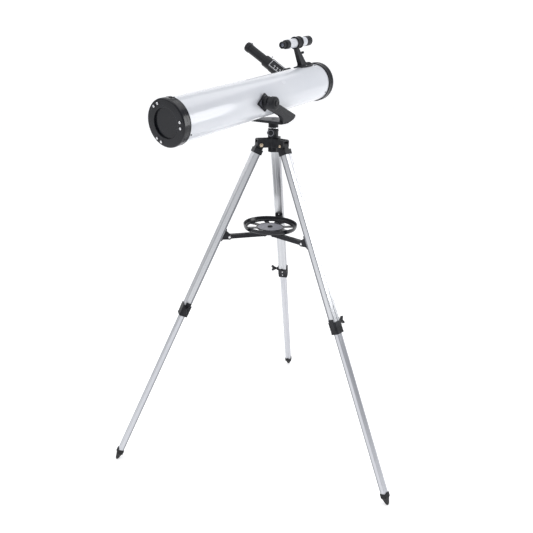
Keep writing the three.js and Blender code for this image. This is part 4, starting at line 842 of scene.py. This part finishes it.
def make_tube():
    inner = TUBE_RADIUS - TUBE_WALL
    rear, front = along(REAR_RING - 10), along(TUBE_LENGTH - 4)
    port = along(FOCUSER_AT)
    stations = [rear + 0.3, rear + 90, rear + 200, rear + 320, rear + 430, port - 20, port + 20, front - 0.3]
    profile = [(inner, rear)] + [(TUBE_RADIUS, s) for s in stations] + [(inner, front)]
    profile += [(inner - 0.01, s) for s in (port + 20, port - 20)]
    tube = lathe(profile, 192, "y")
    shell = piece("tube_shell", tube, "optical_tube", [WHITE, BLACK_FLAT], TUBE, ["main_tube"],
                  baked=False)
    shell.modifiers.clear()
    cutter_mesh = bpy.data.meshes.new("port_tool")
    verts, faces, _ = rod(RACK_FACE + 2, 20, 80, 48, round_off=0)
    cutter_mesh.from_pydata([tuple(v * MM) for v in verts], [], faces)
    face_outward(cutter_mesh)
    cutter = bpy.data.objects.new("port_tool", cutter_mesh)
    bpy.context.scene.collection.objects.link(cutter)
    cutter.matrix_world = FOCUSER
    bpy.context.view_layer.update()
    hole = shell.modifiers.new("port", "BOOLEAN")
    hole.object = cutter
    hole.operation = "DIFFERENCE"
    hole.solver = "EXACT"
    depsgraph = bpy.context.evaluated_depsgraph_get()
    cut_mesh = bpy.data.meshes.new_from_object(shell.evaluated_get(depsgraph), depsgraph=depsgraph)
    shell.modifiers.clear()
    shell.data = cut_mesh
    bpy.data.objects.remove(cutter)
    loose = bmesh.new()
    loose.from_mesh(cut_mesh)
    bmesh.ops.triangulate(loose, faces=[face for face in loose.faces if len(face.verts) > 4])
    loose.to_mesh(cut_mesh)
    loose.free()
    cut_mesh.materials.clear()
    cut_mesh.materials.append(WHITE)
    cut_mesh.materials.append(BLACK_FLAT)
    for face in cut_mesh.polygons:
        middle = face.center
        face.material_index = 1 if math.hypot(middle.x, middle.z) < (TUBE_RADIUS - 0.7) * MM else 0
    cut_mesh.shade_smooth()
    cut_mesh.set_sharp_from_angle(angle=math.radians(35))
    weighted = shell.modifiers.new("normals", "WEIGHTED_NORMAL")
    weighted.keep_sharp = True

    skirt = TUBE_RADIUS + 0.4
    edge = RING_RADIUS
    rear_profile = [
        (CELL_WINDOW, along(0.6)), (CELL_WINDOW + 0.8, along(0)), (edge - 4.4, along(0)),
        (edge - 1.8, along(0.5)), (edge - 0.4, along(1.8)), (edge, along(3.4)), (edge, along(12.6)),
        (edge - 0.9, along(13.6)), (edge - 0.9, along(21.6)), (edge - 0.2, along(22.2)),
        (edge - 0.2, along(REAR_RING - 0.3)), (edge - 0.8, along(REAR_RING)), (skirt, along(REAR_RING)),
        (skirt, along(CELL_RECESS - 0.3)), (CELL_WINDOW, along(CELL_RECESS - 0.3))]
    parts = [spun(rear_profile, 0.5, 2, 160, "y")]
    parts.append(shifted(block((-2.6, along(REAR_RING - 9), edge - 1.4),
                               (2.6, along(REAR_RING - 3), edge + 1.3)), turn(6, "Y")))
    for angle in SCREW_TURNS:
        rim = ring(SCREW_RADIUS + 0.3, SCREW_RADIUS + 1.5, along(-0.35), along(0.3), 40, "y", 0.3)
        parts.append(shifted(rim, turn(angle, "Y") @ at(0, 0, SCREW_CIRCLE)))
    parts += heads_round(1.8, 0.8, edge - 1.2, [(angle, 17.6) for angle in (180, 300, 60)])
    piece("rear_cap", parts, "optical_tube", BLACK_GLOSS, TUBE, ["rear_cell"])

    cell = [spun([(0, along(CELL_RECESS + 0.1)), (30, along(CELL_RECESS + 0.1)), (31, along(CELL_RECESS)),
                  (47.3, along(CELL_RECESS)), (47.3, along(9)), (43, along(21)), (38.3, along(21)),
                  (38.3, along(12)), (0, along(12))], 0.4, 2, 128, "y")]
    tall = 3.3
    for k, angle in enumerate(SCREW_TURNS):
        spot = turn(angle, "Y") @ at(0, along(0), SCREW_CIRCLE)
        r = SCREW_RADIUS - 0.05
        socket = 1.5 if k % 2 else 0.9
        post = spun([(0, CELL_RECESS + 1), (r, CELL_RECESS + 1), (r, -tall + 0.7), (r - 0.8, -tall),
                     (socket, -tall), (socket - 0.2, -tall + 1.3), (0, -tall + 1.3)], 0.35, 2, 48, "y",
                    wave=lobed(16, 0.07, -tall + 0.6, -0.4) if k % 2 else None, tint=1)
        cell.append(shifted(post, spot))
    piece("mirror_cell_plate", cell, "optical_tube", [BLACK_GLOSS, CHROME], TUBE,
          ["mirror_cell"])
    front_face = MIRROR_BACK + MIRROR_THICK
    steps = [MIRROR_RADIUS * k / 12 for k in range(12, -1, -1)]
    dish = [(u, along(front_face) + (u ** 2 - MIRROR_RADIUS ** 2) / (4 * FOCUS)) for u in steps]
    glass = lathe([(0, along(MIRROR_BACK)), (MIRROR_RADIUS - 0.4, along(MIRROR_BACK)),
                   (MIRROR_RADIUS, along(MIRROR_BACK + 0.4)),
                   (MIRROR_RADIUS, along(front_face) - 0.4)] + dish, 96, "y")
    piece("main_mirror", glass, "optical_tube", MIRROR, TUBE, ["primary_mirror"])

    back = along(TUBE_LENGTH - FRONT_RING)
    end = along(TUBE_LENGTH)
    rim = [(skirt, back), (edge - 0.5, back), (edge - 0.1, back + 0.5), (edge - 0.1, back + 2.4),
           (edge - 0.8, back + 3), (edge - 0.8, back + 13.6), (edge, back + 14.4), (edge, end - 2.4),
           (edge - 0.6, end - 0.8), (edge - 2, end), (47, end), (45.8, end - 0.5), (45.6, end - 1.4),
           (45.6, end - 3.6), (skirt, end - 3.6)]
    parts = [spun(rim, 0.4, 2, 160, "y")]
    station = TUBE_LENGTH - FRONT_RING + 8.4
    parts += heads_round(1.7, 0.7, edge - 1.1, [(angle, station) for angle in (-17, 60, 100, 180, 240, 300)])
    piece("front_trim", parts, "optical_tube", BLACK_GLOSS, TUBE, ["front_ring"])

    front, rear = TUBE_LENGTH - 32, REAR_RING + 8
    heads = heads_round(2.1, 1.1, TUBE_RADIUS - 0.1, (
        (6, TUBE_LENGTH - 38), (14, TUBE_LENGTH - 38), (118, front), (238, front), (2, rear), (122, rear),
        (242, rear)))
    piece("tube_screws", heads, "optical_tube", BLACK, TUBE)


def make_spider():
    middle = FOCUSER_AT - PIVOT_AT
    reach = TUBE_RADIUS - TUBE_WALL - 0.6
    holder = spun([(0, middle + 13), (10.4, middle + 13), (10.4, middle + 36), (8.6, middle + 38),
                   (0, middle + 38)], 0.8, 3, 64, "y")
    parts = [holder]
    for angle in (FOCUSER_TURN + 180, FOCUSER_TURN + 60, FOCUSER_TURN - 60):
        parts.append(shifted(block((-0.7, middle + 27, 6), (0.7, middle + 36, reach)), turn(angle, "Y")))
    for k in range(3):
        post = rod(1.3, middle + 37, middle + 40, 20, "y", 0.4, tint=1)
        parts.append(shifted(post, turn(120 * k, "Y") @ at(5.4, 0, 0)))

    def wedge(radius, low, high):
        """A round bar along the tube between two end faces, each given by its Y at V."""
        outline = circle(radius, 64)
        count = len(outline)
        verts = [Vector((u, end(v), v)) for end in (low, high) for u, v in outline]
        faces = [(i, (i + 1) % count, (i + 1) % count + count, i + count) for i in range(count)]
        faces += [tuple(range(count)), tuple(range(count, 2 * count))]
        return shifted((verts, faces, 0), turn(FOCUSER_TURN, "Y"))

    parts.append(wedge(10.4, lambda v: middle + 3.1 - v, lambda v: middle + 13.4))
    piece("spider_frame", parts, "optical_tube", [BLACK_FLAT, CHROME], TUBE, ["spider"],
          bevel=0.15)
    face = middle + 0.3 - 2.6 * math.sqrt(2)
    piece("diagonal_mirror", wedge(10.2, lambda v: face - v, lambda v: face + 2.9 - v), "optical_tube",
          MIRROR, TUBE, ["secondary_mirror"])


# ---------------------------------------------------------------- focuser
def thumb_screw(shank, length, head, tall, tint=0):
    """A small knurled thumb screw along X, its shank starting at X = 0."""
    profile = [(0, 0), (shank, 0), (shank, length), (head * 0.7, length), (head, length + 0.6),
               (head, length + tall - 0.6), (head * 0.8, length + tall), (0, length + tall)]
    return spun(profile, 0.35, 2, 72, "x", wave=lobed(18, 0.09, length + 0.5, length + tall), tint=tint)


def make_focuser():
    top, wide = HOUSING_TOP, HOUSING_RADIUS

    def hug(v):
        """The saddle's underside follows the tube."""
        clear = math.sqrt((TUBE_RADIUS + 0.35) ** 2 - v.x ** 2)
        return Vector((v.x, v.y, clear)) if v.z < 45 else v

    def framed(x, low, high):
        return [(-x, low), (x, low), (x, high), (-x, high)]

    columns = [-23 + 46 * i / 24 for i in range(25)]
    edge = [(x, 18 if abs(x) < 18 else 13 + math.sqrt(max(0, 25 - (abs(x) - 18) ** 2))) for x in columns]
    outline = [(x, -y) for x, y in edge] + [(x, y) for x, y in reversed(edge)]
    parts = [warped(prism(outline, 40, SADDLE_TOP, holes=[circle(RACK_FACE + 0.9, 48)]), hug)]
    bore, rim, low = DRAWTUBE_RADIUS + 0.45, COLLAR_RADIUS, SADDLE_TOP - 2
    parts.append(spun([(bore, low), (wide + 3, low), (wide + 2.4, low + 3), (wide, low + 6),
                       (wide, top - 1), (wide - 0.7, top), (rim - 0.4, top), (rim - 0.4, top + 3),
                       (rim, top + 4), (rim, COLLAR_TOP - 2.4), (rim - 0.6, COLLAR_TOP - 0.8),
                       (rim - 2, COLLAR_TOP), (bore, COLLAR_TOP)], 0.7, 3, 96))
    turned_panel = turn(PANEL_TURN, "Z")
    face = wide + 2
    # The pale frame and the short pale marks on the panel are painted highlights on the edges of its black
    # ribs.
    highlight_frame = fillet(framed(10.6, 57.5, top - 1.5), 1.5, 3)
    window = fillet(framed(9.2, 58.9, top - 2.9), 1.2, 3)
    panel = [
        prism(fillet(framed(12, 56, top), 1.2, 3), 12.6, face - 1.2, "x"),
        prism(highlight_frame, face - 1.4, face - 0.5, "x", holes=[window], tint=1),
        prism(framed(12, 56, top), face - 1.4, face - 0.7, "x", holes=[highlight_frame]),
    ]
    for low in (62.5, 72.5, 82.5):
        highlight_mark = [(-8.6, low), (-0.5, low), (-0.5, low + 5), (-1.8, low + 5), (-1.8, low + 1.4),
                (-8.6, low + 1.4)]
        panel.append(prism(highlight_mark, face - 1.4, face - 0.6, "x", tint=1))
    parts += [shifted(part, turned_panel) for part in panel]
    back, low, high = -SHAFT_X - 5, SHAFT_Z - 11, SHAFT_Z + 9
    parts += [block((back, -15, low), (-12.8, -4.6, high)), block((back, 4.6, low), (-12.8, 15, high)),
              block((back, -15, low), (back + 1.4, 15, high))]
    for y in (-11, 11):
        for z in (SHAFT_Z - 7, SHAFT_Z + 6):
            parts.append(shifted(screw_head(1.8, 1.0, tint=2), at(back, y, z) @ turn(-90, "Y")))
    for x in (19, -19):
        for y in (13, -13):
            parts.append(shifted(screw_head(2.0, 1.1, tint=2), at(x, y, SADDLE_TOP)))
    sideways = turn(90 + PANEL_TURN, "Z")
    parts.append(shifted(thumb_screw(1.5, 4.6, 2.1, 3.2, tint=2), sideways @ at(15.2, 0, COLLAR_TOP - 10)))
    piece("focuser_body", parts, "optical_tube", [BLACK, PALE_HIGHLIGHT, CHROME], FOCUSER,
          ["focuser_housing"], bevel=0.4)

    r, end, holder, fit = DRAWTUBE_RADIUS, DRAWTUBE_END, HOLDER_RADIUS, EYEPIECE_RADIUS + 0.3
    parts = [spun([(r - 1.6, DRAWTUBE_LOW), (r, DRAWTUBE_LOW), (r, end - 12), (holder - 0.3, end - 11),
                   (holder, end - 10), (holder, end - 0.8), (holder - 0.8, end), (fit, end),
                   (fit, end - 11), (r - 1.6, end - 13)], 0.5, 2, 96)]
    parts.append(ring(r - 0.4, r + 0.35, end - 20, end - 18.6, 96))
    root, tooth = 1 - r, 1.2 - RACK_FACE
    rack = [(root, DRAWTUBE_LOW)]
    z = DRAWTUBE_LOW + 2
    while z < RACK_TOP - 2:
        rack += [(tooth, z), (-RACK_FACE, z + 0.5), (-RACK_FACE, z + 1.1), (tooth, z + 1.6)]
        z += 2.1
    rack += [(root, RACK_TOP)]
    parts.append(prism(rack, -3.5, 3.5, "y"))
    piece("draw_tube", parts, "drawtube", BLACK, FOCUSER, ["drawtube"])

    def knurl(angle, radius, height):
        if radius > 12.2 and 26 < abs(height) < 35:
            return radius - 0.5 * (0.5 - 0.5 * math.cos(angle * 30))
        return radius

    near = [(0, 36), (7.5, 36), (8.2, 35.4), (11.8, 35.4), (12.8, 34.6), (12.9, 34), (12.9, 27),
            (12.4, 25.6), (11.6, 25), (PINION_RADIUS, 25), (PINION_RADIUS, 7), (PINION_RADIUS - 0.5, 6.6)]
    full = near + [(radius, -height) for radius, height in reversed(near)]
    piece("focus_wheels", spun(full, 0.4, 2, 180, "y", wave=knurl), "focus_knobs", BLACK,
          FOCUSER @ at(-SHAFT_X, 0, SHAFT_Z), ["focus_knobs"])

    r, top = EYEPIECE_RADIUS, EYEPIECE_END
    body = spun([(r - 1.4, end - 24), (r, end - 24), (r, end + 0.3), (r + 2.2, end + 0.3),
                 (r + 2.6, end + 0.9), (r + 2.6, top - 2), (r + 1.8, top - 0.6), (r + 0.6, top), (7.2, top),
                 (6.2, top - 1.2), (5.6, top - 2), (5.6, top - 5), (r - 1.4, top - 6)], 0.5, 2, 96)
    lens = lathe([(0, top - 4.4), (5.5, top - 4.4), (5.5, top - 3.2), (3, top - 2.7), (0, top - 2.5)], 64,
                 tint=1)
    piece("eyepiece_body", [body, lens], "eyepiece", [BLACK, LENS], FOCUSER, ["eyepiece"])
    piece("eyepiece_thumb_screw", thumb_screw(1.5, 13.4 - r, 2.4, 3.5), "eyepiece_screw", CHROME,
          FOCUSER @ at(0, 0, end - 3.4) @ sideways @ at(r + 0.6, 0, 0), ["eyepiece_screw"])


# ---------------------------------------------------------------- finder
def make_finder():
    def near(station):
        return station - STALK_AT

    r = FINDER_RADIUS
    rear, hood_at = near(FINDER_BARREL + 0.3), near(FINDER_HOOD)
    barrel = [(r - 1.3, rear), (r - 0.3, rear), (r, rear + 0.7), (r, hood_at), (r - 1.3, hood_at)]
    piece("finder_barrel", spun(barrel, 0.3, 2, 96, "y"), "optical_tube", WHITE, FINDER,
          ["finder_tube"])
    front = near(FINDER_FRONT)
    hood = [(r - 1.25, hood_at + 0.2), (r - 0.2, hood_at + 0.2), (r + 0.7, hood_at + 1),
            (r + 0.8, hood_at + 2), (r + 0.8, hood_at + 5), (r + 0.3, hood_at + 5.8),
            (r + 0.3, hood_at + 7), (r + 0.8, hood_at + 7.8), (r + 0.8, front - 2), (r + 0.2, front - 0.4),
            (r - 0.6, front), (r - 1.25, front - 0.4)]
    piece("finder_hood", spun(hood, 0.4, 2, 96, "y"), "optical_tube", BLACK, FINDER)
    end, seat = near(FINDER_REAR), near(FINDER_BARREL)
    eye = [(5.4, end + 2.4), (6.4, end + 0.6), (7, end), (8, end + 0.1), (9, end + 1.6), (9.2, end + 3),
           (9.2, end + 7.6), (8.6, end + 9.6), (7.6, end + 11), (7.6, end + 13), (10, end + 14.4),
           (11.3, end + 16.4), (11.7, end + 19), (11.7, end + 24), (11.2, seat - 0.4), (10.7, seat),
           (r - 1.6, seat), (r - 1.6, seat + 14), (5.4, seat + 14)]

    def ribs(angle, radius, height):
        if (9.1 < radius < 9.3 and end + 2 < height < end + 8) or (11.5 < radius and height < seat):
            return radius - 0.3 * (0.5 - 0.5 * math.cos(angle * 30))
        return radius

    lens = lathe([(0, end + 5), (5.3, end + 5), (5.3, end + 4), (3, end + 3.4), (0, end + 3.2)], 48, "y",
                 tint=1)
    piece("finder_eye_end", [spun(eye, 0.4, 2, 150, "y", wave=ribs), lens], "optical_tube", [BLACK, LENS],
          FINDER, ["finder_eyepiece"])
    inner = r - 1.3 - 0.3
    glass = [(0, front - 15.5), (inner - 0.3, front - 14.6), (inner, front - 14.2), (inner, front - 11.8),
             (inner * 0.7, front - 10.8), (inner * 0.35, front - 10.2), (0, front - 10.05)]
    piece("finder_lens", lathe(glass, 72, "y"), "optical_tube", LENS, FINDER,
          ["finder_objective"])

    bore = r + 0.3
    sleeve = [(bore, -13), (15.8, -13), (16.4, -12.4), (16.4, -9.2), (15.8, -8.6), (14.6, -8.2), (14.4, -7.4),
              (14.4, 6.4), (14.8, 7), (15.4, 7.2), (15.8, 7.8), (15.8, 12.4), (15.2, 13), (bore, 13)]
    parts = [spun(sleeve, 0.5, 2, 96, "y")]
    drop = FINDER_HEIGHT - TUBE_RADIUS
    low = -drop
    stalk = [(-12, -r - 0.8), (1, -r - 0.8), (29, low + 9), (40, low + 9.4)]
    stalk += curve((40, low + 9.4), (52, low + 8.8), (59.6, low + 3), 8)
    stalk += [(59.6, low - 2), (-6, low - 2), (-6, low + 2.4)]
    stalk += curve((-6, low + 2.4), (2, low + 3), (5, low + 6), 8)

    def taper(v):
        t = (v.z + drop) / (drop - r)
        return Vector((v.x * (1.35 - 0.5 * min(1, max(0, t))), v.y, v.z))

    parts.append(warped(prism(stalk, -5.4, 5.4, "x"), taper))
    seat_verts, seat_faces = [], []
    rows = [(-6, 12.0), (-5, 13.6), (6, 15.4), (18, 16.8), (38, 16.8), (50, 14.6), (60, 10.6), (61.6, 8.8)]
    steps = 14
    for y, half in rows:
        angle = math.asin(half / TUBE_RADIUS)
        for i in range(steps + 1):
            a = -angle + 2 * angle * i / steps
            for reach in (TUBE_RADIUS + 0.35, TUBE_RADIUS + 3.0):
                seat_verts.append(Vector((reach * math.sin(a), y, reach * math.cos(a) - FINDER_HEIGHT)))
    across = 2 * (steps + 1)
    for k in range(len(rows) - 1):
        for i in range(steps):
            a = k * across + 2 * i
            b = a + across
            seat_faces += [(a, a + 2, b + 2, b), (a + 1, b + 1, b + 3, a + 3)]
        for i in (0, 2 * steps):
            a = k * across + i
            b = a + across
            seat_faces.append((a, b, b + 1, a + 1) if i == 0 else (a, a + 1, b + 1, b))
    for k in (0, len(rows) - 1):
        for i in range(steps):
            a = k * across + 2 * i
            seat_faces.append((a, a + 1, a + 3, a + 2) if k == 0 else (a, a + 2, a + 3, a + 1))
    parts.append((seat_verts, seat_faces, 0))
    for side in (-1, 1):
        spot = turn(side * 11.5, "Y") @ at(0, 22, TUBE_RADIUS + 2.9)
        parts.append(shifted(shifted(screw_head(2.2, 1.3, tint=1), spot), at(0, 0, -FINDER_HEIGHT)))
    for angle in (0, 120, 240):
        nib = thumb_screw(1.3, 1.8, 1.7, 1.5, tint=1)
        parts.append(shifted(nib, turn(angle - 90, "Y") @ at(13.6, 10, 0)))
    knob = spun([(0, -13), (1.6, -13), (1.6, 0.6), (3, 0.6), (3.4, 1.3), (3.4, 7.7), (2.8, 8.4), (0, 8.4)],
                0.4, 2, 72, "y")
    parts.append(shifted(knob, at(0, 21, -KNOB_DROP)))
    piece("finder_mount", parts, "optical_tube", [BLACK, CHROME], FINDER, ["finder_bracket"],
          bevel=0.5)


# ---------------------------------------------------------------- stage
def make_stage():
    floor_look = finish("pale_studio_floor", (0.80, 0.80, 0.80), (0.83, 0.83, 0.83), (0.7, 0.9), patch=3,
                        grain=300, bump=0.02, specular=0.2)
    shader = principled(floor_look)
    shader.inputs["Emission Color"].default_value = (1, 1, 1, 1)
    shader.inputs["Emission Strength"].default_value = FLOOR_GLOW
    size, bend = FLOOR_REACH, FLOOR_BEND
    heading = turn(FLOOR_HEADING, "Z")
    verts, faces = [], []
    profile = [(-size, 0.0), (size - bend, 0.0)]
    for i in range(1, BEND_STEPS + 1):
        angle = math.radians(90 * i / BEND_STEPS)
        profile.append((size - bend + bend * math.sin(angle), bend - bend * math.cos(angle)))
    profile.append((size, BACK_WALL))
    for y, z in profile:
        for x in (-FLOOR_HALF_WIDTH, FLOOR_HALF_WIDTH):
            spot = BASE @ heading @ Vector((x, y, 0))
            verts.append((spot.x, spot.y, z))
    for i in range(len(profile) - 1):
        faces.append((2 * i, 2 * i + 1, 2 * i + 3, 2 * i + 2))
    mesh = bpy.data.meshes.new("studio_floor")
    mesh.from_pydata(verts, [], faces)
    mesh.shade_smooth()
    mesh.materials.append(floor_look)
    floor = bpy.data.objects.new("studio_floor", mesh)
    bpy.context.scene.collection.objects.link(floor)

    world = bpy.data.worlds.new("studio")
    bpy.context.scene.world = world
    world.use_nodes = True
    world.node_tree.nodes["Background"].inputs["Color"].default_value = SKY_COLOUR
    world.node_tree.nodes["Background"].inputs["Strength"].default_value = SKY_STRENGTH
    bpy.context.scene.view_settings.view_transform = "Standard"

    def lamp(name, where, aim, size_m, power, colour=(1, 1, 1)):
        data = bpy.data.lights.new(name, "AREA")
        data.shape = "RECTANGLE"
        data.size, data.size_y = size_m
        data.energy = power
        data.color = colour
        made = bpy.data.objects.new(name, data)
        bpy.context.scene.collection.objects.link(made)
        place_at = BASE @ Vector(where)
        aim_at = BASE @ Vector(aim)
        made.location = place_at
        made.rotation_euler = (aim_at - place_at).to_track_quat("-Z", "Y").to_euler()

    lamp("softbox", (1.15, 0.72, 1.2), (0.05, -0.28, 1.04), (0.5, 0.9), 6.5)
    lamp("key", (-1.5, -2.2, 2.9), (0, 0, 0.9), (3.0, 2.4), 36)
    lamp("top", (0.2, 0.3, 3.2), (0, 0, 0.8), (3.1, 3.1), 31)


def make_camera():
    data = bpy.data.cameras.new("camera")
    data.sensor_width = SENSOR_WIDTH
    data.lens = FOCAL_LENGTH
    data.clip_end = FAR_CLIP
    camera = bpy.data.objects.new("camera", data)
    bpy.context.scene.collection.objects.link(camera)
    yaw, pitch, roll = CAMERA_YAW, CAMERA_PITCH, CAMERA_ROLL
    forward = Vector((math.sin(yaw) * math.cos(pitch), math.cos(yaw) * math.cos(pitch), math.sin(pitch)))
    right = Vector((math.cos(yaw), -math.sin(yaw), 0))
    up = right.cross(forward)
    right, up = right * math.cos(roll) + up * math.sin(roll), up * math.cos(roll) - right * math.sin(roll)
    turned = Matrix((right, up, -forward)).transposed().to_4x4()
    camera.matrix_world = BASE @ at(*CAMERA_SPOT) @ turn(CAMERA_HEADING, "Z") @ turned
    bpy.context.scene.camera = camera


make_camera()
make_hub()
make_azimuth_lock()
for number in LEG:
    make_leg(number)
    make_spreader(number)
make_tray()
make_yoke()
make_altitude(1)
make_altitude(-1)
make_tube()
make_spider()
make_focuser()
make_finder()
make_stage()
